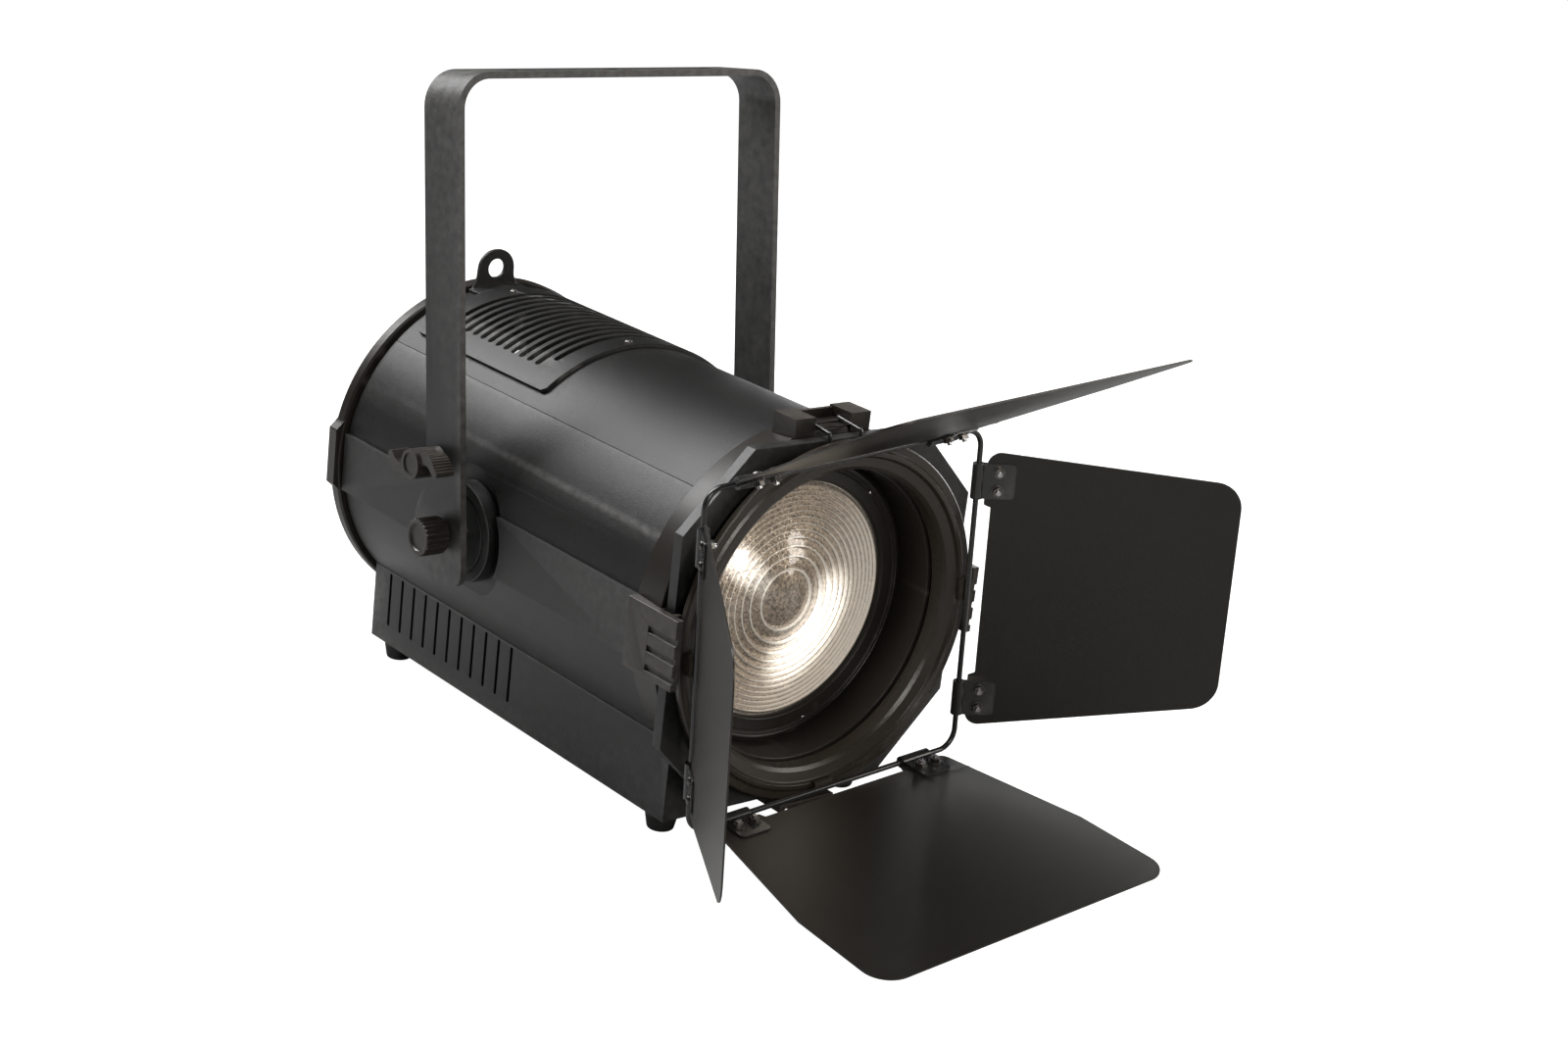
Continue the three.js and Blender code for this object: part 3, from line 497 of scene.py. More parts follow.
CROSS_HEAD = eased(minus(
    moved(turned([(0, 0), (3.0, 0, 0.2), (3.0, 0.7, 0.5), (1.9, 1.7, 1.2), (0, 2.0)], 24, loop=False),
          turn(90, "X")),
    block(-1.7, 1.7, -0.32, 0.32, 0.9, 3), block(-0.32, 0.32, -1.7, 1.7, 0.9, 3)), 0.07, 1)
NUT = eased(plus(prism(circle(0, 0, 4.8, 28), 0, 0.8, along="z"),
    prism(circle(0, 0, 3.9, 6), 0.6, 3.6, along="z")),
            0.3, 2)
STUD = eased(prism(circle(0, 0, 1.9, 20), 2.0, 5.4, along="z"), 0.4, 2)
for template in (CROSS_HEAD, NUT, STUD):
    template.hide_render = True
    template.hide_viewport = True
    low = min(v.co.z for v in template.data.vertices)
    print("screw head from", round(low, 2), "to", round(max(v.co.z for v in template.data.vertices), 2), "mm")

# %% [markdown]
# ## Tree 5: flutes round a grip
# A thumb knob is turned first and fluted afterwards. The tree does the same: it pulls the rim of a
# turned body inwards in a smooth wave, deepest between two ribs, and leaves the face and the
# washer alone because only points outside an inner radius and between two heights are moved.

# %% Flute tree
fluting = bpy.data.node_groups.new("fluted_grip", "GeometryNodeTree")
given, made = sockets_of(
    fluting,
    [("Body", "Geometry"), ("Count", "Int", 24), ("Depth", "Float", 1.0), ("Inner Radius", "Float", 12.0),
     ("From", "Float", 0.0), ("To", "Float", 10.0), ("Material", "Material")],
    [("Geometry", "Geometry")])
where = wired(fluting, "ShaderNodeSeparateXYZ", Vector=wired(fluting, "GeometryNodeInputPosition").outputs[0])
x, y, z = where.outputs
across = sum_of(fluting, "SQRT", sum_of(fluting, "ADD", sum_of(fluting, "MULTIPLY", x, x),
                                        sum_of(fluting, "MULTIPLY", z, z)))
wave = sum_of(fluting, "COSINE", sum_of(fluting, "MULTIPLY", sum_of(fluting, "ARCTAN2", x, z),
    given["Count"]))
bite = sum_of(fluting, "POWER", sum_of(fluting, "MULTIPLY_ADD", wave, -0.5, 0.5), 0.6)
on_rim = sum_of(fluting, "GREATER_THAN", across, given["Inner Radius"])
above, below = sum_of(fluting, "GREATER_THAN", y, given["From"]), sum_of(fluting, "LESS_THAN", y, given["To"])
chosen = sum_of(fluting, "MULTIPLY", on_rim, sum_of(fluting, "MULTIPLY", above, below))
pull = sum_of(fluting, "DIVIDE", sum_of(fluting, "MULTIPLY",
    sum_of(fluting, "MULTIPLY", bite, given["Depth"]),
                                        chosen), sum_of(fluting, "MAXIMUM", across, 0.01))
inward = wired(fluting, "ShaderNodeCombineXYZ",
               X=sum_of(fluting, "MULTIPLY", sum_of(fluting, "MULTIPLY", x, pull), -1.0),
               Z=sum_of(fluting, "MULTIPLY", sum_of(fluting, "MULTIPLY", z, pull), -1.0))
shaped = wired(fluting, "GeometryNodeSetPosition", Geometry=given["Body"], Offset=inward.outputs[0])
last_steps(fluting, shaped.outputs[0], given["Material"], made["Geometry"])
print("flute tree:", len(fluting.nodes), "nodes")

# %% [markdown]
# ## Tree 6: the steps of the lens
# A fresnel lens is a thick convex lens cut into rings and flattened. Every ring has the same
# height, so the rings get narrower outwards: ring number grows with the square of the radius. The
# tree applies exactly that rule to the flat front of a turned disc, with a plain dome in the middle.

# %% Lens step tree
stepping = bpy.data.node_groups.new("fresnel_steps", "GeometryNodeTree")
given, made = sockets_of(
    stepping,
    [("Disc", "Geometry"), ("Dome Radius", "Float", 22.0), ("Edge Radius", "Float", 86.8),
        ("Rings", "Int", 13),
     ("Dome Top", "Float", 33.6), ("Dome Foot", "Float", 38.0), ("Ring Top", "Float", 35.6),
     ("Ring Foot", "Float", 39.0), ("Front Limit", "Float", 39.5), ("Material", "Material")],
    [("Geometry", "Geometry")])
where = wired(stepping, "ShaderNodeSeparateXYZ",
    Vector=wired(stepping, "GeometryNodeInputPosition").outputs[0])
x, y, z = where.outputs
square = sum_of(stepping, "ADD", sum_of(stepping, "MULTIPLY", x, x), sum_of(stepping, "MULTIPLY", z, z))
dome_square = sum_of(stepping, "MULTIPLY", given["Dome Radius"], given["Dome Radius"])
edge_square = sum_of(stepping, "MULTIPLY", given["Edge Radius"], given["Edge Radius"])
share = sum_of(stepping, "DIVIDE", sum_of(stepping, "SUBTRACT", square, dome_square),
               sum_of(stepping, "SUBTRACT", edge_square, dome_square))
phase = sum_of(stepping, "FRACT", sum_of(stepping, "MULTIPLY", share, given["Rings"]))
ring_y = sum_of(stepping, "MULTIPLY_ADD", phase,
                sum_of(stepping, "SUBTRACT", given["Ring Foot"], given["Ring Top"]), given["Ring Top"])
dome_y = sum_of(stepping, "MULTIPLY_ADD", sum_of(stepping, "DIVIDE", square, dome_square),
                sum_of(stepping, "SUBTRACT", given["Dome Foot"], given["Dome Top"]), given["Dome Top"])
in_dome = sum_of(stepping, "LESS_THAN", share, 0.0)
height = wired(stepping, "ShaderNodeMix", {"data_type": "FLOAT"}, i0=in_dome, i2=ring_y, i3=dome_y)
target = wired(stepping, "ShaderNodeCombineXYZ", X=x, Y=height.outputs[0], Z=z)
front = sum_of(stepping, "LESS_THAN", y, given["Front Limit"])
shaped = wired(stepping, "GeometryNodeSetPosition", Geometry=given["Disc"], Selection=front,
               Position=target.outputs[0])
last_steps(stepping, shaped.outputs[0], given["Material"], made["Geometry"])
print("lens step tree:", len(stepping.nodes), "nodes")

# %% [markdown]
# ## Shared shader groups
# Three effects appear on nearly every finish, so each is one node group used many times: the grain
# of a coat, the paler rub along edges, which doubles as a painted edge highlight, and dust that settles
# on faces that look up. A group gives out only numbers; each material mixes them with its own colours.

# %% Grain group
grain_group = bpy.data.node_groups.new("coat_grain", "ShaderNodeTree")
given, made = sockets_of(
    grain_group, [("Scale", "Float", 900.0), ("Patch Scale", "Float", 9.0)],
    [("Height", "Float"), ("Patch", "Float")])
seen_at = wired(grain_group, "ShaderNodeTexCoord").outputs["Object"]
coarse = wired(grain_group, "ShaderNodeTexNoise", Vector=seen_at, Scale=given["Scale"], Detail=2.0,
    Roughness=0.6)
fine_scale = sum_of(grain_group, "MULTIPLY", given["Scale"], 2.7)
fine = wired(grain_group, "ShaderNodeTexVoronoi", {"feature": "SMOOTH_F1"}, Vector=seen_at, Scale=fine_scale)
grain_height = sum_of(grain_group, "MULTIPLY_ADD", fine.outputs["Distance"], 0.45, coarse.outputs[0])
patches = wired(grain_group, "ShaderNodeTexNoise", Vector=seen_at, Scale=given["Patch Scale"], Detail=3.0)
grain_group.links.new(grain_height, made["Height"])
grain_group.links.new(patches.outputs[0], made["Patch"])
print("grain group:", len(grain_group.nodes), "nodes")

# %% Edge wear with painted edge highlight, and dust groups
# Edge mask: marks rubbed wear and also places a painted edge highlight.
wear_and_highlight_group = bpy.data.node_groups.new("rubbed_edges", "ShaderNodeTree")
given, made = sockets_of(wear_and_highlight_group, [("Start", "Float", 0.53), ("End", "Float", 0.62),
    ("Break Up", "Float", 160.0)],
                         [("Mask", "Float")])
sharpness = wired(wear_and_highlight_group, "ShaderNodeNewGeometry").outputs["Pointiness"]
ramp = wired(wear_and_highlight_group, "ShaderNodeMapRange", Value=sharpness, From_Min=given["Start"],
    From_Max=given["End"])
seen_at = wired(wear_and_highlight_group, "ShaderNodeTexCoord").outputs["Object"]
broken = wired(wear_and_highlight_group, "ShaderNodeTexNoise", Vector=seen_at, Scale=given["Break Up"], Detail=3.0)
wear_and_highlight_group.links.new(sum_of(wear_and_highlight_group, "MULTIPLY", ramp.outputs[0], broken.outputs[0]), made["Mask"])

dust_group = bpy.data.node_groups.new("settled_dust", "ShaderNodeTree")
given, made = sockets_of(dust_group, [("Scale", "Float", 40.0), ("Amount", "Float", 0.1)],
    [("Mask", "Float")])
up = wired(dust_group, "ShaderNodeSeparateXYZ",
    Vector=wired(dust_group, "ShaderNodeNewGeometry").outputs["Normal"])
flat_up = wired(dust_group, "ShaderNodeMapRange", Value=up.outputs["Z"], From_Min=0.3, From_Max=1.0)
seen_at = wired(dust_group, "ShaderNodeTexCoord").outputs["Object"]
drift = wired(dust_group, "ShaderNodeTexNoise", Vector=seen_at, Scale=given["Scale"], Detail=6.0,
    Roughness=0.7)
settling = sum_of(dust_group, "MULTIPLY", flat_up.outputs[0], drift.outputs[0])
dust_group.links.new(sum_of(dust_group, "MULTIPLY", settling, given["Amount"]), made["Mask"])
print("wear and dust groups ready")

# %% [markdown]
# ## Finishes
# `finish` builds one material from the three groups. The numbers that differ are the ones a paint
# maker would quote: colour, gloss, grain size, grain depth and how readily an edge rubs through.
# The pale rub colour also serves as a painted edge highlight.
# Values that are the same all over go straight on the shader, so that they survive export.

# %% Finish builder
DUST = (0.20, 0.19, 0.175, 1)


def colour(r, g, b):
    return (r, g, b, 1)


def blend_of(tree, amount, a, b):
    mix = wired(tree, "ShaderNodeMix", {"data_type": "RGBA"}, i0=amount, i6=a, i7=b)
    return mix.outputs[2]


def group_in(tree, group, **values):
    return wired(tree, "ShaderNodeGroup", {"node_tree": group}, **values)


def finish(name, slot, base, paler, rough, spread=0.1, metallic=0.0, grain=900.0, depth=0.25, rub=None,
           rub_and_highlight_share=0.7, dust=0.1, specular=0.5, coat=0.0, coat_rough=0.2, patch=9.0, fleck=0.0,
           fleck_colour=None):
    material = bpy.data.materials.new(name)
    material.use_nodes = True
    material["slot"] = slot
    tree = material.node_tree
    shader = tree.nodes["Principled BSDF"]
    shader.inputs["Metallic"].default_value = metallic
    shader.inputs["Specular IOR Level"].default_value = specular
    shader.inputs["Coat Weight"].default_value = coat
    shader.inputs["Coat Roughness"].default_value = coat_rough
    texture = group_in(tree, grain_group, Scale=grain, Patch_Scale=patch)
    edge_rub_and_highlight = group_in(tree, wear_and_highlight_group)
    film = group_in(tree, dust_group, Amount=dust)
    clouded = blend_of(tree, texture.outputs["Patch"], base, paler)
    speck = wired(tree, "ShaderNodeMapRange", Value=texture.outputs["Height"], From_Min=0.68, From_Max=1.05,
                  To_Max=fleck)
    shade = blend_of(tree, speck.outputs[0], clouded, fleck_colour or paler)
    # Pale colour on sharp edges: partly edge wear, partly a painted edge highlight.
    rubbed_and_highlit = blend_of(tree, sum_of(tree, "MULTIPLY", edge_rub_and_highlight.outputs["Mask"], rub_and_highlight_share), shade, rub or paler)
    tree.links.new(blend_of(tree, film.outputs["Mask"], rubbed_and_highlit, DUST), shader.inputs["Base Color"])
    uneven = sum_of(tree, "MULTIPLY_ADD", texture.outputs["Patch"], spread, rough - spread / 2)
    tree.links.new(sum_of(tree, "ADD", uneven, sum_of(tree, "MULTIPLY", film.outputs["Mask"], 0.6)),
                   shader.inputs["Roughness"])
    bump = wired(tree, "ShaderNodeBump", Strength=depth, Distance=0.0008, Height=texture.outputs["Height"])
    tree.links.new(bump.outputs[0], shader.inputs["Normal"])
    return material


# The powder coat's pale rub colour is partly edge wear, partly a painted edge highlight.
POWDER = finish("powder_coat", "powder_coat", colour(.007, .007, .0073), colour(.010, .0098, .0096), 0.36,
                spread=0.05, grain=1150, depth=0.32, rub=colour(.24, .235, .23), dust=0.02,
                fleck=0.6, fleck_colour=colour(.03, .029, .028))
PLASTIC = finish("moulded_plastic", "moulded_plastic", colour(.015, .0125, .0105), colour(.024, .02, .0165),
    0.34,
                 grain=1300, depth=0.12, rub=colour(.13, .115, .10), dust=0.03)
# Black satin for the door ring; its warm brown tint is a painted warm reflection.
BLACK_WITH_PAINTED_WARM = finish("warm_black", "powder_coat", colour(.026, .0205, .015), colour(.038, .031, .023), 0.27,
              spread=0.05, grain=900, depth=0.12, rub=colour(.16, .14, .11), dust=0.02)
SHEET = finish("door_sheet", "door_sheet", colour(.0125, .0105, .0085), colour(.02, .017, .0135), 0.36,
               spread=0.05, grain=1500, depth=0.12, rub=colour(.12, .11, .10), dust=0.02, fleck=0.5,
               fleck_colour=colour(.03, .027, .023))
ROD = finish("black_rod", "black_rod", colour(.016, .016, .0165), colour(.026, .026, .026), 0.22,
             grain=1100, depth=0.05, coat=0.3, rub=colour(.12, .12, .12), dust=0.02)
ZINC = finish("dark_zinc", "dark_zinc", colour(.10, .095, .09), colour(.16, .15, .14), 0.34, metallic=1.0,
              grain=1600, depth=0.08, rub=colour(.4, .38, .36), dust=0.0)
STEEL = finish("bright_steel", "steel", colour(.42, .42, .43), colour(.55, .55, .56), 0.26, metallic=1.0,
               grain=2000, depth=0.05, rub=colour(.7, .7, .7), dust=0.0)
RUBBER = finish("foot_rubber", "rubber", colour(.012, .012, .012), colour(.02, .02, .02), 0.72,
                grain=1000, depth=0.3, rub=colour(.04, .04, .04), dust=0.15)
SCREEN = finish("display_screen", "screen", colour(.004, .006, .009), colour(.008, .012, .018), 0.12,
                grain=300, depth=0.0, coat=0.6, coat_rough=0.05, dust=0.03)
ALLOY = finish("light_alloy", "light_alloy", colour(.45, .46, .47), colour(.56, .57, .58), 0.38, metallic=1.0,
               grain=900, depth=0.2, dust=0.1)
MOTOR = finish("motor_case", "motor_case", colour(.02, .02, .024), colour(.04, .04, .045), 0.42,
               grain=900, depth=0.2, dust=0.1)
PHOSPHOR = finish("light_engine", "light_engine", colour(.75, .50, .10), colour(.85, .62, .16), 0.45,
                  grain=500, depth=0.15, dust=0.0)
print("finishes:", len(bpy.data.materials))

# %% [markdown]
# ## The lens glass
# Clear glass alone would look like a hole, because a real lens shows the light it gathers. So the
# body is a warm stipple with fine dimples and a crisp coat, each ring's crest carries a painted highlight
# line, and two soft pools of painted light glow across the rings, placed in lamp millimetres, over a faint
# painted glow.

# %% Lens material
GLASS = bpy.data.materials.new("lens_glass")
GLASS.use_nodes = True
GLASS["slot"] = "lens_glass"
DOME_R, EDGE_R, RINGS, LENS_R, LENS_BACK = 22.0, 86.8, 13, 92.0, 49.5
tree = GLASS.node_tree
shader = tree.nodes["Principled BSDF"]
for socket, value in (("Transmission Weight", 0.22), ("IOR", 1.5), ("Coat Weight", 1.0),
    ("Coat Roughness", 0.05),
                      ("Coat IOR", 1.6), ("Metallic", 0.35)):
    shader.inputs[socket].default_value = value
seen_at = wired(tree, "ShaderNodeTexCoord").outputs["Object"]
from_axis = wired(tree, "ShaderNodeVectorMath", {"operation": "SUBTRACT"}, i0=seen_at, i1=tuple(LAMP_ZERO))
lens_mm = wired(tree, "ShaderNodeVectorMath", {"operation": "SCALE"}, i0=from_axis.outputs[0], Scale=1 / MM)
place = wired(tree, "ShaderNodeSeparateXYZ", Vector=lens_mm.outputs[0])
u, w = place.outputs["X"], place.outputs["Z"]
radius_square = sum_of(tree, "ADD", sum_of(tree, "MULTIPLY", u, u), sum_of(tree, "MULTIPLY", w, w))
ring_share = sum_of(tree, "DIVIDE", sum_of(tree, "SUBTRACT", radius_square, DOME_R ** 2),
    EDGE_R ** 2 - DOME_R ** 2)
ring_phase = sum_of(tree, "FRACT", sum_of(tree, "MULTIPLY", ring_share, float(RINGS)))
outside_dome = sum_of(tree, "GREATER_THAN", ring_share, -0.01)
# Painted highlight: a pale line along each ring's crest, used in the base colour and in the emission.
painted_crest_ramp = wired(tree, "ShaderNodeMapRange", {"interpolation_type": "SMOOTHSTEP"}, Value=ring_phase,
              From_Min=0.20, From_Max=0.0, To_Max=1.0)
painted_crest_highlight = sum_of(tree, "MULTIPLY", painted_crest_ramp.outputs[0], outside_dome)
# Painted shading across each ring: the painted light is brightest at the crest and fades over the ring.
painted_ring_falloff = wired(tree, "ShaderNodeMapRange", Value=ring_phase, From_Min=0.2, From_Max=1.0, To_Min=1.0,
    To_Max=0.35)


def painted_light_pool(centre, size, lean, sharp=1.0):
    """A soft pool of painted light on the lens: an ellipse with its long axis leaned by so many degrees."""
    c, d = math.cos(math.radians(lean)), math.sin(math.radians(lean))
    du, dw = sum_of(tree, "SUBTRACT", u, centre[0]), sum_of(tree, "SUBTRACT", w, centre[1])
    along = sum_of(tree, "ADD", sum_of(tree, "MULTIPLY", du, c / size[0]),
        sum_of(tree, "MULTIPLY", dw, d / size[0]))
    over = sum_of(tree, "ADD", sum_of(tree, "MULTIPLY", du, -d / size[1]),
        sum_of(tree, "MULTIPLY", dw, c / size[1]))
    far = sum_of(tree, "ADD", sum_of(tree, "MULTIPLY", along, along), sum_of(tree, "MULTIPLY", over, over))
    return sum_of(tree, "POWER", sum_of(tree, "MAXIMUM", sum_of(tree, "SUBTRACT", 1.0, far), 0.0), sharp)


stipple = group_in(tree, grain_group, Scale=430.0, Patch_Scale=60.0)
speckle = wired(tree, "ShaderNodeMapRange", Value=stipple.outputs["Height"], From_Min=0.52, From_Max=0.95)
body_tint = blend_of(tree, speckle.outputs[0], colour(.13, .085, .048), colour(.74, .60, .44))
# Painted highlight: each ring's crest line is paler in the base colour.
tree.links.new(blend_of(tree, sum_of(tree, "MULTIPLY", painted_crest_highlight, 0.75), body_tint, colour(.95, .90, .80)),
               shader.inputs["Base Color"])
tree.links.new(sum_of(tree, "MULTIPLY_ADD", stipple.outputs["Patch"], 0.12, 0.16), shader.inputs["Roughness"])
dimples = wired(tree, "ShaderNodeBump", Strength=0.7, Distance=0.0008, Height=stipple.outputs["Height"])
tree.links.new(dimples.outputs[0], shader.inputs["Normal"])

# Painted light: two soft pools of emitted light on the lens, standing in for light the lens catches.
painted_left_pool = painted_light_pool((-44, 32), (44, 17), -38, 2.0)
painted_crescent = sum_of(tree, "MULTIPLY", painted_light_pool((24, -25), (56, 32), 52, 1.9),
                  sum_of(tree, "SUBTRACT", 1.0, painted_light_pool((4, -4), (38, 32), 52, 0.5)))
painted_caught_light = sum_of(tree, "ADD", sum_of(tree, "MULTIPLY", painted_left_pool, 0.8),
    sum_of(tree, "MULTIPLY", painted_crescent, 1.1))
painted_ringed_light = sum_of(tree, "MULTIPLY", painted_caught_light, sum_of(tree, "ADD", painted_ring_falloff.outputs[0], painted_crest_highlight))
painted_mottled_light = sum_of(tree, "MULTIPLY", painted_ringed_light, sum_of(tree, "MULTIPLY_ADD", speckle.outputs[0], 0.7, 0.5))
# Painted glow: a faint emission over the whole lens, a little brighter on each crest.
painted_resting_glow = sum_of(tree, "MULTIPLY_ADD", painted_crest_highlight, 0.16, 0.03)
painted_glow = wired(tree, "ShaderNodeMapRange", Value=sum_of(tree, "ADD", painted_mottled_light, painted_resting_glow))
tree.links.new(blend_of(tree, painted_glow.outputs[0], colour(0, 0, 0), colour(1.0, .95, .87)),
    shader.inputs["Emission Color"])
shader.inputs["Emission Strength"].default_value = 1.5
print("lens material:", len(tree.nodes), "nodes")

# %% [markdown]
# ## Handing a piece over
# Every finished piece goes through `piece`: its mesh moves to the row frame, gets its finish and
# even shading, then rides on its CAD body and stands for the CAD nodes it replaces. `refined`
# starts from a CAD shape that is already right, welds a copy of it and rounds its edges.

# %% Piece helpers
def piece(name, item, material, body, replaces=(), at=STAY, crease=34):
    moved(item, at, TO_ROW)
    mesh = item.data
    mesh.materials.clear()
    mesh.materials.append(material)
    for face in mesh.polygons:
        face.use_smooth = True
        face.material_index = 0
    mesh.set_sharp_from_angle(angle=math.radians(crease))
    even = item.modifiers.new("even_normals", "WEIGHTED_NORMAL")
    even.keep_sharp = True
    settled(item)
    item.name = item.data.name = name
    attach(item, body)
    if replaces:
        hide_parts(*replaces)
    print(f"{name}: {len(item.data.polygons)} faces on {body}")
    return item


def refined(node, ease=0.5, segments=2, flat=1.2):
    item = bpy.data.objects.new("copy_of_" + node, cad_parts[node].data.copy())
    bpy.context.scene.collection.objects.link(item)
    moved(item, TO_ROW.inverted())
    work = bmesh.new()
    work.from_mesh(item.data)
    bmesh.ops.remove_doubles(work, verts=work.verts, dist=0.01)
    bmesh.ops.dissolve_limit(work, angle_limit=math.radians(flat), verts=work.verts, edges=work.edges)
    work.to_mesh(item.data)
    work.free()
    return eased(item, ease, segments)


print("piece helpers ready")

# %% [markdown]
# ## Barrel
# The barrel is a rolled steel shell, 260 mm across, with a flat strip pressed into each side and a
# round pocket where the tilt disc sits. It is drawn as one cross-section pushed along the axis,
# then each pocket gets a cup inside and is cut out, so its wall stays closed all round.

# %% Barrel shell
SHELL_R, SHELL_WALL, SHELL_Y = 130.0, 2.5, (41.8, 415.7)
SEAM = 44.5
STRIP_X, STRIP_Z = 131.6, (-24.0, 21.5)
PIVOT_Y, PIVOT_Z = 249.8, -3.1
POCKET_R, POCKET_X, POCKET_WALL = 49.0, 120.3, 2.4


def arc(r, start, end, step=2.0):
    count = max(1, round(abs(end - start) / step))
    turns = [math.radians(start + (end - start) * k / count) for k in range(count + 1)]
    return [(r * math.sin(a), r * math.cos(a)) for a in turns]


strip_top, strip_low = (math.degrees(math.acos(z / SHELL_R)) for z in reversed(STRIP_Z))
right_half = arc(SHELL_R, SEAM, strip_top) + [(STRIP_X, STRIP_Z[1]), (STRIP_X, STRIP_Z[0])]
right_half += arc(SHELL_R, strip_low, 180)
outside = right_half + [(-x, z) for x, z in reversed(right_half[:-1])]
shell = prism(outside + arc(SHELL_R - SHELL_WALL, 360 - SEAM, SEAM), *SHELL_Y)
for side in (-1, 1):
    cup = drum("x", side * (POCKET_X - POCKET_WALL), side * 140, POCKET_R + POCKET_WALL, PIVOT_Y, PIVOT_Z, 72)
    shell = plus(shell, within(cup, prism(outside, *SHELL_Y)))
    shell = minus(shell, drum("x", side * POCKET_X, side * 145, POCKET_R, PIVOT_Y, PIVOT_Z, 72),
                  drum("x", side * 100, side * 145, 4.4, PIVOT_Y, PIVOT_Z, 32))
shell = minus(shell, drum("z", -140, -115, 12, 0, 330, 32))
piece("barrel_skin", eased(shell, 0.55), POWDER, "lamp", ["barrel_shell"])

# %% [markdown]
# ## Lift-off cover, vent panel and hanging eye
# The top quarter of the barrel lifts off for service. It is drawn flat with its window, rounded
# along every edge and rolled to the barrel's radius. The raised vent panel above it is made the
# same way, with thirteen slots struck by the slot tree, the first and the last one shorter.

# %% Cover and vent panel
COVER_GAP = 0.15
cover_half = math.radians(SEAM - COVER_GAP) * SHELL_R
window_half = math.radians(33) * SHELL_R
ASIDE = math.radians(-1.8)
COVER_SCREW_X = ASIDE * SHELL_R
SCREW_FRONT, SCREW_BACK = 238, 388.8
cover = prism(box_outline(-cover_half, cover_half, *SHELL_Y, 1.5), -SHELL_WALL, 0,
              [box_outline(-window_half, window_half, 245, 384, 4), circle(COVER_SCREW_X, SCREW_FRONT,
                  1.7, 16),
               circle(COVER_SCREW_X, SCREW_BACK, 1.7, 16)], along="z")
piece("cover_skin", rolled(eased(cover, 0.6), SHELL_R), POWDER, "lamp", ["top_cover"])

VENT_R, VENT_T, VENT_Y = 130.3, 3.1, (231.0, 400.0)
SLOT_FIRST, SLOT_PITCH, SLOT_COUNT, SLOT_WIDTH = 252.5, 10.33, 13, 5.8
vent_half = math.radians(38.5) * VENT_R
slot_x = ASIDE * VENT_R
chamfer = 3.5
vent = prism(rounded([
    (-vent_half + chamfer, VENT_Y[0], 1), (vent_half - chamfer, VENT_Y[0], 1), (vent_half,
        VENT_Y[0] + chamfer, 1),
    (vent_half, VENT_Y[1], 3), (-vent_half, VENT_Y[1], 3), (-vent_half, VENT_Y[0] + chamfer, 1)]),
    0, VENT_T, [circle(slot_x, SCREW_FRONT, 1.7, 16), circle(slot_x, SCREW_BACK, 1.7, 16)], along="z")
long_slot, short_slot = (2 * math.radians(half) * VENT_R for half in (29, 24.5))
vent = slotted(vent, long_slot, SLOT_WIDTH, 12, SLOT_COUNT - 2, (slot_x, SLOT_FIRST + SLOT_PITCH, 1.5),
               (0, SLOT_PITCH, 0))
vent = slotted(vent, short_slot, SLOT_WIDTH, 12, 2, (slot_x, SLOT_FIRST, 1.5),
    (0, SLOT_PITCH * (SLOT_COUNT - 1), 0))
piece("vent_slats", rolled(eased(vent, 0.75), VENT_R), POWDER, "lamp", ["vent_panel"])
screw_r = VENT_R + VENT_T - 0.3
screw_seats = [((screw_r * math.sin(ASIDE), y, screw_r * math.cos(ASIDE)),
    (math.sin(ASIDE), 0, math.cos(ASIDE)))
               for y in (SCREW_FRONT, SCREW_BACK)]
piece("vent_screws", seated(CROSS_HEAD, screw_seats, 1.0, 4), ZINC, "lamp")
piece("hanging_eye", refined("safety_eye", 0.7, 3), POWDER, "lamp", ["safety_eye"])

# %% [markdown]
# ## Front collar, lens cell and lens
# The moulded collar closes the barrel's front and carries the doors. Inside it the lens cell grips
# the lens by its rim. All three are turned. The lens gets extra profile points at each ring's foot
# and top, so that the step tree can raise clean rings out of a flat disc.

# %% Collar, cell and lens
collar = turned([
    (107, 6, .6), (126, 6, 1.2), (126, 10.3, .8), (134, 12, .9), (131.2, 41.2, .8), (127.1, 41.2), (127.1,
        52, .5),
    (124.3, 52, .5), (124.3, 38, .8), (128.3, 35, .8), (130.6, 14.6, .8), (123.2, 12.6), (123.2, 8.8), (110,
        8.8, .5),
    (110, 37, .5), (107, 37, .5)], 192)
piece("collar_moulding", collar, PLASTIC, "lamp", ["front_collar"])

cell = turned([
    (87.5, 36.6, .6), (89, 34.5, .8), (97, 34.5, .3), (97.6, 35.3, .3), (99.2, 35.3, .3), (99.8, 34.5, .3),
    (103, 34.5, .8), (106.6, 36.4, .3), (106.6, 37.4), (123.8, 37.4, .4), (123.8, 40.6, .4), (96, 40.6, .4),
    (96, 52, .5), (92.5, 52, .5), (92.5, 39.4, .3), (87.5, 39.4, .4)], 192)
piece("lens_cell", cell, PLASTIC, "lamp", ["lens_holder"])
CELL_SCREWS = [(98.4 * math.sin(math.radians(a)), 35.1, 98.4 * math.cos(math.radians(a))) for a in (43, 163,
    283)]
retainer = turned([(101.2, 34.7), (101.2, 33.7, .3), (102.8, 33.7, .3), (102.8, 34.7)], 192)
piece("lens_retaining_ring", retainer, ZINC, "lamp")
piece("lens_cell_screws", seated(CROSS_HEAD, [(p, (0, -1, 0)) for p in CELL_SCREWS], 0.5, 2), STEEL, "lamp")

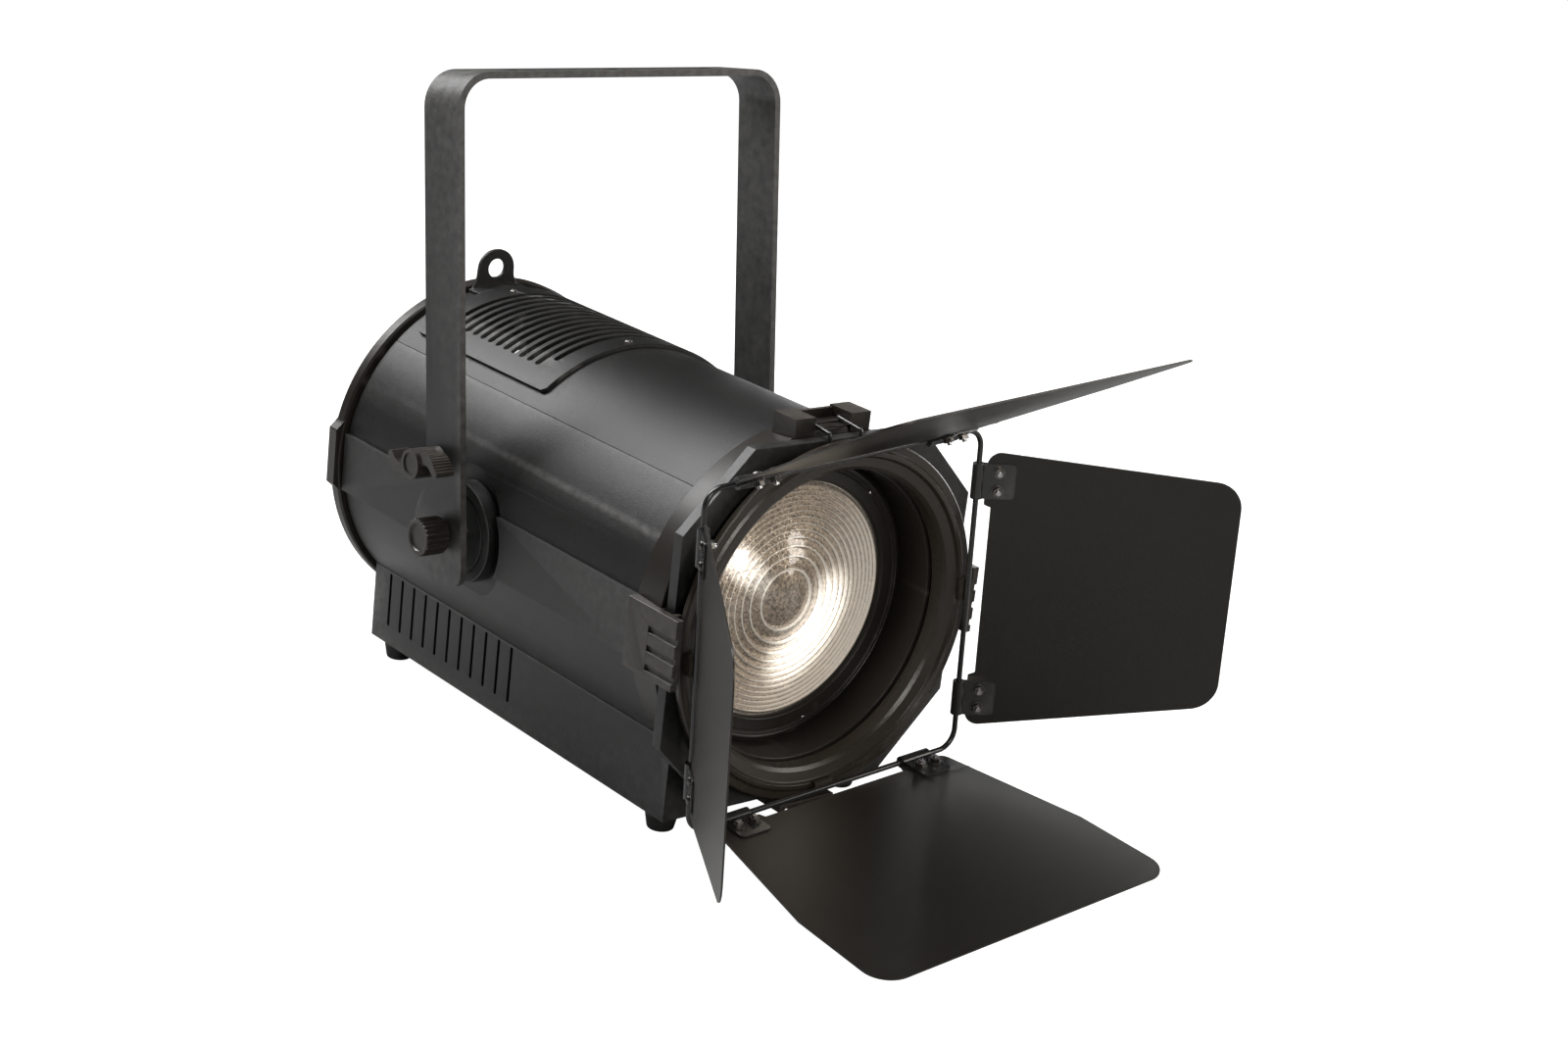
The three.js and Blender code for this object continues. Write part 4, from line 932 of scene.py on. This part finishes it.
ring_area = (EDGE_R ** 2 - DOME_R ** 2) / RINGS
ring_radii = [math.sqrt(DOME_R ** 2 + k * ring_area) for k in range(RINGS + 1)]
front_line = [(DOME_R * k / 8, 39.0) for k in range(8)] + [(DOME_R - 0.02, 39.0)]
for inner_r, outer_r in zip(ring_radii, ring_radii[1:]):
    width = outer_r - inner_r
    front_line += [(inner_r + 0.25 + (width - 0.27) * k / 4, 39.0) for k in range(5)]
disc = turned(front_line + [(87.1, 39.8), (LENS_R, 39.8), (LENS_R, LENS_BACK), (0, LENS_BACK)], 160,
    loop=False)
lens = closed_up(through(disc, stepping, dome_radius=DOME_R, edge_radius=EDGE_R, rings=RINGS))
piece("stepped_lens", lens, GLASS, "lamp", ["fresnel_lens"], crease=28)

# %% [markdown]
# ## Accessory clips and the top latch
# Three moulded clips and a latch hold the door unit on the collar. The CAD blocks already have the
# right grooves, so each is a welded copy with a moulded radius on its edges. The latch wire is
# bent bar: up from its pivots, forward over the plate and across.

# %% Clips and latch
for where in ("right", "left", "bottom"):
    piece(f"clip_moulding_{where}", refined(f"accessory_clip_{where}", 0.8, 3), PLASTIC, "lamp",
          [f"accessory_clip_{where}"])
piece("latch_moulding", refined("latch_base", 0.9, 3), PLASTIC, "lamp", ["latch_base"])
LATCH_Y, LATCH_Z = 23.0, 137.6
wire_path = [(-22.5, LATCH_Y, LATCH_Z), (-14, LATCH_Y, LATCH_Z), (-14, -2.9, 135), (-14, -2.9, 127.2)]
wire_path += [(-x, y, z) for x, y, z in reversed(wire_path)]
piece("latch_wire", bent_bar(wire_path, 2.4, 2.8, steps=6), ROD, "latch", ["latch_bail"])

# %% [markdown]
# ## Base and feet
# The electronics sit in a folded steel tray under the barrel. It is a block hollowed by a smaller
# block and scooped to the barrel's curve; the slot tree strikes eleven cooling slots in each
# side. The feet are small turned cones of rubber, each with a steel screw up its middle.

# %% Base and feet
BASE_X, BASE_Y, BASE_Z, SHEET_T = 95.0, (31.0, 416.0), -150.0, 2.0
LOUVRE_FIRST, LOUVRE_PITCH, LOUVRE_COUNT = 225.0, 16.8, 11
FOOT_X, FOOT_Y = 84.0, (46.0, 391.0)
tray = block(-BASE_X, BASE_X, *BASE_Y, BASE_Z, -70)
tray = minus(
    tray,
    block(-BASE_X + SHEET_T, BASE_X - SHEET_T, BASE_Y[0] + SHEET_T, BASE_Y[1] - SHEET_T, BASE_Z + SHEET_T,
        -60),
    drum("y", 41.4, 500, SHELL_R + 0.3, segments=160),
    turned([(0, 5.7), (126.4, 5.7), (126.4, 10.1), (134.5, 11.7), (131.8, 41.5), (0, 41.5)], 160, loop=False),
    block(-28, 28, 30, 34, -139, -126))
for side in (-1, 1):
    tray = slotted(tray, 44, 3.2, 8, LOUVRE_COUNT, (side * (BASE_X - 1), LOUVRE_FIRST, -113),
                   (0, LOUVRE_PITCH, 0), lie=(0, 90, 0))
piece("base_tray", eased(tray, 0.7), POWDER, "lamp", ["base_housing"])
foot_places = [(side * FOOT_X, y) for y in FOOT_Y for side in (-1, 1)]
for i, (x, y) in enumerate(foot_places, 1):
    foot = turned([(0, 1.5), (4.2, 1.5), (4.2, 0), (9.6, 0, 1.6), (12, 11.9, 0.8), (0, 11.9)], 48, loop=False)
    piece(f"rubber_foot_{i}", foot, RUBBER, "lamp", [f"foot_{i}"],
        at=shift(x, y, BASE_Z - 12) @ turn(90, "X"))
foot_screw_seats = [((x, y, BASE_Z - 10.4), (0, 0, -1)) for x, y in foot_places]
piece("foot_screws", seated(CROSS_HEAD, foot_screw_seats, 0.7, 9), STEEL, "lamp")

# %% [markdown]
# ## Rear cap and control panel
# The moulded cap rings the back of the barrel and swells over the side strips. The panel inside it
# carries the cooling slots, display, four menu buttons, power inlet and data plug. None of it
# is lettered: a shared part keeps its controls plain.

# %% Rear cap and panel
CAP_Y = (418.2, 430.0)
cap = turned([
    (124, 408, .4), (127.1, 408, .6), (127.1, 418.2), (133.6, 418.2, .5), (135, 419.7, .5), (135, 428, 1.0),
    (133, 430, 1.0), (122.5, 430, .8), (121, 428.5, .6), (121, 421), (116, 421, .5), (116, 418.2, .5), (124,
        418.2)],
    192)
for side in (-1, 1):
    swell = [(side * x, z, r) for x, z, r in ((128, -30, 0), (133, -24, 2), (137.6, -20, 2), (137.6, 24, 2),
                                              (133, 28.5, 2), (128, 34, 0))]
    cap = plus(cap, prism(rounded(swell, 4), CAP_Y[0] + 0.6, CAP_Y[1] - 1))
piece("rear_cap_moulding", eased(cap, 0.6), PLASTIC, "lamp", ["rear_cap"])

PANEL_Y, PANEL_R = (421.3, 424.3), 120.1
BUTTON_X, BUTTON_Z = (-27, -9, 9, 27), 8.0
INLET, DATA = (48.0, -46.0), (-48.0, -46.0)
holes = [box_outline(-30.3, 30.3, 28.7, 59.3, 1), circle(*INLET, 15.3), circle(*DATA, 12.3)]
panel = prism(circle(0, 0, PANEL_R, 160), *PANEL_Y, holes + [circle(x, BUTTON_Z, 5, 24) for x in BUTTON_X])
for i in range(4):
    half = 52 - 5 * i
    for side in (-1, 1):
        panel = slotted(panel, half - 2, 4, 10, 1, (side * (half + 2) / 2, 422.8, 72 + 9 * i), (0, 0, 1),
            lie=(90, 0, 0))
piece("control_panel", eased(panel, 0.45), POWDER, "lamp", ["rear_panel"])
rim_turns = [math.radians(30 + 60 * k) for k in range(6)]
rim = [(112 * math.sin(a), PANEL_Y[1], 112 * math.cos(a)) for a in rim_turns]
piece("panel_screws", seated(CROSS_HEAD, [(p, (0, 1, 0)) for p in rim], 1.1, 12), ZINC, "lamp")
piece("display_glass", refined("display_window", 0.6, 3), SCREEN, "lamp", ["display_window"])
for i, x in enumerate(BUTTON_X, 1):
    button = turned([(0, 417), (6, 417), (6, 419), (4.7, 419), (4.7, 427.2, 1.2), (2.4, 427.2, .3),
        (0, 426.7)],
                    40, loop=False)
    piece(f"button_cap_{i}", button, RUBBER, f"button_{i}", [f"menu_button_{i}"], at=shift(x, 0, BUTTON_Z))
piece("inlet_moulding", refined("power_inlet", 0.5), PLASTIC, "lamp", ["power_inlet"])
piece("data_plug_shell", refined("data_in", 0.4), ZINC, "lamp", ["data_in"])
corner_seats = [((px + sx * w, 426.5, pz + sz * h), (0, 1, 0)) for (px, pz), w,
    h in ((INLET, 14.2, 15.6), (DATA, 11.2, 12.6))
                for sx, sz in ((-1, 1), (1, -1))]
piece("socket_screws", seated(CROSS_HEAD, corner_seats, 0.55, 5), STEEL, "lamp")

# %% [markdown]
# ## Door plate, ring and rod frame
# The octagonal plate is a shallow folded pan and stays with the lamp; the turned ring rotates in
# it and carries the rod frame on four pads. The ring is one lathe profile with a rolled bead. The
# rod frame is a single bar bent at four corners, with the whole unit sitting four degrees round.

# %% Door plate, ring and rods
TURNED_BY, ROD_AT, ROD_Y, ROD_R = 4.1, 123.1, -19.2, 2.0
DOORS_TURNED = turn(-TURNED_BY, "Y")
piece("door_plate", refined("barndoor_plate", 0.5), POWDER, "lamp", ["barndoor_plate"])
ring = turned([
    (109.2, 4.2, .3), (114, 4.2, .3), (114, 1.9), (111.8, 1.9), (111.8, -5.8), (130.4, -5.8, .4), (131.5,
        -6.8, .4),
    (131.5, -10.4, .6), (130.4, -11.4, .4), (125.4, -11.4, .8), (123.4, -13, .5), (120.6, -13, .5), (118.8,
        -10.8, .9),
    (112, -8.6, .8), (109.2, -6.4, .8)], 192)
for k in range(4):
    pad = block(ROD_AT - 4, ROD_AT + 4, ROD_Y + ROD_R + 0.3, -9, -8, 8)
    ring = plus(ring, moved(pad, turn(90 * k, "Y")))
# The ring is black satin paint with a painted warm reflection tint in its colour.
piece("door_ring", eased(ring, 0.35), BLACK_WITH_PAINTED_WARM, "barndoor", ["barndoor_ring"], at=DOORS_TURNED)
corners = [(ROD_AT, ROD_Y, ROD_AT), (ROD_AT, ROD_Y, -ROD_AT), (-ROD_AT, ROD_Y, -ROD_AT),
    (-ROD_AT, ROD_Y, ROD_AT)]
piece("rod_frame", bent_bar(corners, 14, 2 * ROD_R, closed=True), ROD, "barndoor", ["wire_frame"],
    at=DOORS_TURNED)

# %% [markdown]
# ## The four doors
# Each door is thin sheet with a faint fold near its hinge that stiffens it, and two clips folded
# round the rod. One flat door and one clip are drawn for the right side and swung into place by a
# matrix. On the beam side every clip shows two nuts on their studs, placed by the screw tree.

# %% Doors
LEAF_T, OPEN = 1.2, {"right": 36, "left": 57.5, "top": 61, "bottom": 87}
STATION = {"right": 0, "top": -90, "left": 180, "bottom": 90}
CLIP_AT, CLIP_W, CLIP_D, CLIP_T, EYE_R, GAP = 84.0, 26.0, 27.0, 1.2, 4.4, 0.3
NOTCH = [(6, 66, 1), (11, 64, 1), (11, -64, 1), (6, -66, 1)]


def side_door(start, end):
    return [(6, -106.3, 10), (191.5, start, 21), (191.5, end, 21), (6, 106.3, 10)] + NOTCH


WIDE_DOOR = [(6, -105.6, 9), (125, -130, 3), (210, -132.5, 20), (210, 132.5, 20), (125, 130, 3),
    (6, 105.6, 9)] + NOTCH
DOOR_OUTLINE = {"right": side_door(-86.5, 86.5), "left": side_door(-90, 74), "top": WIDE_DOOR,
    "bottom": WIDE_DOOR}
SEAT_D, SEAT_Z = 14.5, [s * (CLIP_AT + k) for s in (-1, 1) for k in (-7, 7)]


def door(corners):
    sheet = prism(rounded(corners, 10), -LEAF_T / 2, LEAF_T / 2, [circle(SEAT_D, z, 2.2, 16) for z in SEAT_Z])
    work = bmesh.new()
    work.from_mesh(eased(sheet, 0.3).data)
    for d in (28.5, 30, 31.5):
        everything = work.verts[:] + work.edges[:] + work.faces[:]
        bmesh.ops.bisect_plane(work, geom=everything, plane_co=(d, 0, 0), plane_no=(1, 0, 0))
    for v in work.verts:
        if abs(v.co.x - 30) < 0.5:
            v.co.y -= 0.35
    work.to_mesh(sheet.data)
    work.free()
    return sheet


def clip(side):
    z0, z1 = sorted((side * (CLIP_AT - CLIP_W / 2), side * (CLIP_AT + CLIP_W / 2)))
    near, far = LEAF_T / 2 + GAP, LEAF_T / 2 + GAP + CLIP_T
    face = rounded([(0, z0, 0), (CLIP_D, z0, 3.5), (CLIP_D, z1, 3.5), (0, z1, 0)], 5)
    body = plus(drum("z", z0, z1, EYE_R, segments=40), prism(face, near, far), prism(face, -far, -near))
    body = minus(body, drum("z", z0 - 1, z1 + 1, ROD_R + GAP, segments=32),
        block(2.6, 12, -near, near, z0 - 1, z1 + 1))
    return eased(body, 0.22)


for k, (side, opened) in enumerate(OPEN.items()):
    hung = DOORS_TURNED @ turn(STATION[side], "Y") @ shift(ROD_AT, ROD_Y, 0) @ turn(-opened, "Z")
    body = "door_" + side
    piece(f"door_sheet_{side}", door(DOOR_OUTLINE[side]), SHEET, body, ["leaf_" + side], at=hung)
    for end, sign in (("a", 1), ("b", -1)):
        piece(f"clip_{side}_{end}", clip(sign), ROD, body, [f"hinge_clip_{side}_{end}"], at=hung)
    face_y = LEAF_T / 2 + GAP + CLIP_T
    nuts = [((SEAT_D, -face_y, z), (0, -1, 0)) for z in SEAT_Z]
    heads = [((SEAT_D, face_y, z), (0, 1, 0)) for z in SEAT_Z]
    piece(f"nuts_{side}", seated(NUT, nuts, 1.0, 20 + k), ZINC, body, at=hung)
    piece(f"studs_{side}", seated(STUD, nuts, 1.0, 20 + k), STEEL, body, at=hung)
    piece(f"heads_{side}", seated(CROSS_HEAD, heads, 1.15, 30 + k), ZINC, body, at=hung)

# %% [markdown]
# ## Tilt discs and yoke
# The yoke is 44 by 5 mm strap bent twice, with a wide round foot at each end. The strap comes from
# the bent stock tree; the feet and nut blocks are joined to it, and the clamp holes are drilled
# through. It is drawn upright about its pivot and leaned back by one matrix.

# %% Discs and yoke
YOKE_X, YOKE_T, YOKE_HALF, YOKE_TOP, YOKE_FOOT, YOKE_CORNER = 146.4, 5.0, 22.0, 331.0, 39.0, 26.0
LEANED = shift(0, PIVOT_Y, PIVOT_Z) @ turn(-8.2, "X")
WING_V, WING_U = 6.0, 53.0
DISC_X, DISC_DEEP = 120.7, 12.7
inner_x, middle_x = YOKE_X - YOKE_T, YOKE_X - YOKE_T / 2
SPACER_END = inner_x - DISC_X - 0.3
for name, side in (("left", -1), ("right", 1)):
    tilt_disc = turned([(4.4, 0), (38, 0, .6), (38, DISC_DEEP, 1.2), (31, DISC_DEEP, .3), (30.4, 12.0, .3),
                        (28.6, 12.0, .3), (28, DISC_DEEP, .3), (4.4, DISC_DEEP, .4)], 128)
    piece(f"tilt_disc_{name}", tilt_disc, POWDER, "lamp", [f"pivot_disc_{name}"],
          at=shift(side * DISC_X, PIVOT_Y, PIVOT_Z) @ turn(-side * 90, "Z"))

for name, side in (("left", -1), ("right", 1)):
    spacer = turned([(4.4, DISC_DEEP), (6.4, DISC_DEEP, .3), (6.4, SPACER_END, .4), (4.4, SPACER_END, .3)],
        64)
    piece(f"tilt_spacer_{name}", spacer, STEEL, "lamp",
        at=shift(side * DISC_X, PIVOT_Y, PIVOT_Z) @ turn(-side * 90, "Z"))

strap_path = [(-middle_x, 0, 0), (-middle_x, 0, YOKE_TOP - YOKE_T / 2), (middle_x, 0, YOKE_TOP - YOKE_T / 2),
              (middle_x, 0, 0)]
yoke = bent_bar(strap_path, YOKE_CORNER - YOKE_T / 2, YOKE_T, 2 * YOKE_HALF, steps=12)
foot_turns = [math.radians(-112.5 + 225 * k / 60) for k in range(61)]
foot_front = math.sqrt(YOKE_FOOT ** 2 - YOKE_HALF ** 2)
foot_outline = rounded([(YOKE_FOOT * math.cos(a), YOKE_FOOT * math.sin(a), 0) for a in foot_turns]
                       + [(-YOKE_HALF, foot_front, 0), (-YOKE_HALF, -foot_front, 12)], 10)
for side in (-1, 1):
    foot_plate = prism(foot_outline, side * inner_x, side * YOKE_X, along="x")
    x0, x1 = sorted((side * 135, side * (inner_x + 1)))
    yoke = plus(yoke, foot_plate, block(x0, x1, WING_V - 9, WING_V + 9, WING_U - 18, WING_U + 13))
drills = [drum("z", YOKE_TOP - 20, YOKE_TOP + 20, 5.3 if x else 6.5, x, 0, 32) for x in (-88, 0, 88)]
drills.append(drum("x", -200, 200, 4.4, 0, 0, 32))
drills += [drum("x", side * 136.6, side * 200, 4.4, WING_V, WING_U, 32) for side in (-1, 1)]
piece("yoke_strap", eased(minus(yoke, *drills), 0.6), POWDER, "yoke_arm", ["yoke"], at=LEANED)

# %% [markdown]
# ## Knobs
# Two fluted knobs clamp the tilt and two wing knobs lock it. The fluted head is turned, then run
# through the flute tree. The wing knob is an S-shaped wing about a round hub, with fine ribs on
# the outer curve of each wing, where a thumb pushes, set out by the screw tree without spin.

# %% Fluted knobs
KNOB_X = YOKE_X + GAP
MIRROR = {-1: Matrix.Scale(-1, 4, (1, 0, 0)), 1: STAY}
for name, side in (("left", -1), ("right", 1)):
    grip = turned([(0, 0), (9, 0, .3), (12.6, 2.4, .6), (12.6, 3.6, .3), (14, 4.4, .5), (14, 10), (14, 16),
                   (14, 22.4, 1.1), (10.4, 22.4, .6), (9.5, 20.8, .6), (0, 20.8)], 288, loop=False)
    grip = through(grip, fluting, count=24, depth=1.15, inner_radius=12.9, **{"from": 4.6, "to": 22.3})
    piece(f"fluted_knob_{name}", grip, PLASTIC, "tilt_knob_" + name[0], [f"tilt_knob_{name}"], crease=50,
          at=LEANED @ MIRROR[side] @ shift(KNOB_X, 0, 0) @ turn(-90, "Z"))
    shank = turned([(0, 119), (3.4, 119, .4), (4, 120), (4, KNOB_X + 0.5), (0, KNOB_X + 0.5)], 32, loop=False)
    piece(f"tilt_bolt_{name}", shank, STEEL, "tilt_knob_" + name[0],
        at=LEANED @ MIRROR[side] @ turn(-90, "Z"))

# %% Wing knobs
WING_UPPER = [(-7, 9, 3), (-13, 9.6, 6), (-24, 8.6, 11), (-33, -4.5, 2)]
WING_LOWER = [(-27.5, -6.4, 1.6), (-21, 1.0, 6), (-13, 1.6, 5), (-8.5, -5.5, 3)]
half_wing = WING_UPPER + WING_LOWER
wing_outline = rounded(half_wing + [(-y, -z, r) for y, z, r in half_wing], 6)
upper = rounded([(-7, 9, 0)] + WING_UPPER[1:] + [(0, -20, 0)], 9)
RIB = prism(circle(0, 0, 0.8, 10), -7.2, 7.2, along="x")
RIB.hide_render = RIB.hide_viewport = True


def rib_seats(line, pitch=2.3, count=8):
    """Seats at one pitch, back from the wing's tip along its outer curve."""
    tip = max(range(len(line)), key=lambda i: -line[i][0])
    track, seats, due = [Vector(p) for p in line[:tip + 1]][::-1], [], 2.0
    for a, b in zip(track, track[1:]):
        step = (b - a).length
        while due <= step and len(seats) < count:
            p, out = a.lerp(b, due / step), Vector((-(a - b).y, (a - b).x)).normalized()
            out = out if out.dot(p) > 0 else -out
            seats.append(((0, p.x, p.y), (0, out.x, out.y)))
            due += pitch
        due -= step
    return seats


seats = rib_seats(upper)
seats += [((0, -p[1], -p[2]), (0, -d[1], -d[2])) for p, d in seats]
for name, side in (("left", -1), ("right", 1)):
    wings = plus(prism(wing_outline, -7.5, 7.5, along="x"), drum("x", -9.5, 9.5, 11, segments=64))
    wings = minus(wings, drum("x", 8.4, 12, 8.2, segments=64))
    wings = plus(eased(wings, 0.7), moved(turned([(0, 0), (11, 0, .4), (9, 8, .5), (0, 8)], 48, loop=False),
                                         turn(-90, "Z"), shift(-15, 0, 0)))
    ribs = seated(RIB, seats, spin=0.0)
    at = LEANED @ shift(0, WING_V, WING_U) @ MIRROR[side] @ shift(KNOB_X + 15, 0, 0)
    body = "clamp_knob_" + name[0]
    piece(f"wing_knob_{name}", wings, PLASTIC, body, [f"clamp_knob_{name}"], at=at)
    piece(f"wing_ribs_{name}", ribs, PLASTIC, body, at=at)
    stem = turned([(0, 137.4), (3.6, 137.4, .4), (4, 138.4), (4, KNOB_X + 0.5), (0, KNOB_X + 0.5)], 32,
        loop=False)
    piece(f"wing_bolt_{name}", stem, STEEL, body,
        at=LEANED @ shift(0, WING_V, WING_U) @ MIRROR[side] @ turn(-90, "Z"))

# %% [markdown]
# ## Working parts inside
# The carriage, light engine, heat sink, fan, screw, rails and supply show only through the slots
# and the lens, so their CAD shapes stay and take real finishes: cast and drawn alloy, bright
# steel for anything that slides, black mouldings, and the yellow phosphor of the light engine.

# %% Inside finishes
INSIDE = {
    "rear_frame": MOTOR, "carriage": MOTOR, "heat_sink": MOTOR, "power_supply": ALLOY, "led_module": PHOSPHOR,
    "guide_rod_left": STEEL, "guide_rod_right": STEEL, "lead_screw": STEEL, "zoom_motor": MOTOR,
    "fan_frame": PLASTIC, "fan_rotor": PLASTIC,
}
for node, material in INSIDE.items():
    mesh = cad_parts[node].data
    mesh.materials.clear()
    mesh.materials.append(material)
for template in (CROSS_HEAD, NUT, STUD, RIB):
    bpy.data.objects.remove(template)
print("inside finishes:", len(INSIDE))

# %% [markdown]
# ## Floor and light
# The lamp stands on a wide pale floor in a white studio. Black satin paint shows the room more
# than itself, so the light is mostly large and soft: a box high behind and to the left draws the
# long sheen down the barrel, a wide one overhead lifts the top, a small one in front finds the
# rings of the lens, and two weaker ones on the right keep the far side readable.

# %% Floor
FLOOR_SIZE = 40.0
h = FLOOR_SIZE / 2
floor = body_from("floor", [(-h, -h, 0), (h, -h, 0), (h, h, 0), (-h, h, 0)], [(0, 1, 2, 3)])
pale = bpy.data.materials.new("pale_floor")
pale.use_nodes = True
tree = pale.node_tree
shader = tree.nodes["Principled BSDF"]
shader.inputs["Roughness"].default_value = 0.75
shader.inputs["Base Color"].default_value = colour(.42, .42, .42)
shader.inputs["Emission Color"].default_value = colour(1, 1, 1)
seen = wired(tree, "ShaderNodeLightPath").outputs["Is Camera Ray"]
tree.links.new(sum_of(tree, "MULTIPLY", seen, 1.0), shader.inputs["Emission Strength"])
floor.data.materials.append(pale)

world = bpy.data.worlds.new("studio")
bpy.context.scene.world = world
world.use_nodes = True
tree = world.node_tree
sky = tree.nodes["Background"]
seen = wired(tree, "ShaderNodeLightPath").outputs["Is Camera Ray"]
tree.links.new(sum_of(tree, "MULTIPLY_ADD", seen, 0.91, 0.09), sky.inputs["Strength"])
bpy.context.scene.view_settings.view_transform = "Standard"


# %% Lights
def soft_box(name, place, aim, size, power, tint=(1, 1, 1)):
    data = bpy.data.lights.new(name, "AREA")
    data.shape = "RECTANGLE"
    data.size, data.size_y = size
    data.energy = power
    data.color = tint
    lamp = bpy.data.objects.new(name, data)
    bpy.context.scene.collection.objects.link(lamp)
    lamp.location = place
    lamp.rotation_euler = (Vector(aim) - Vector(place)).to_track_quat("-Z", "Y").to_euler()


MIDDLE = (0, 0, 0.2)
soft_box("back_left_box", (-0.8, 1.8, 1.9), MIDDLE, (0.9, 0.9), 46)
soft_box("overhead_box", (-0.3, 0.6, 2.2), MIDDLE, (1.0, 1.6), 46)
soft_box("lens_box", (-0.7, -2.0, 1.1), MIDDLE, (0.5, 0.5), 14, (1, 0.96, 0.9))
soft_box("front_right_box", (1.8, -1.5, 1.0), MIDDLE, (1.0, 1.0), 18, (1, 0.96, 0.9))
soft_box("back_right_box", (2.2, 0.9, 0.5), MIDDLE, (1.6, 1.0), 24)
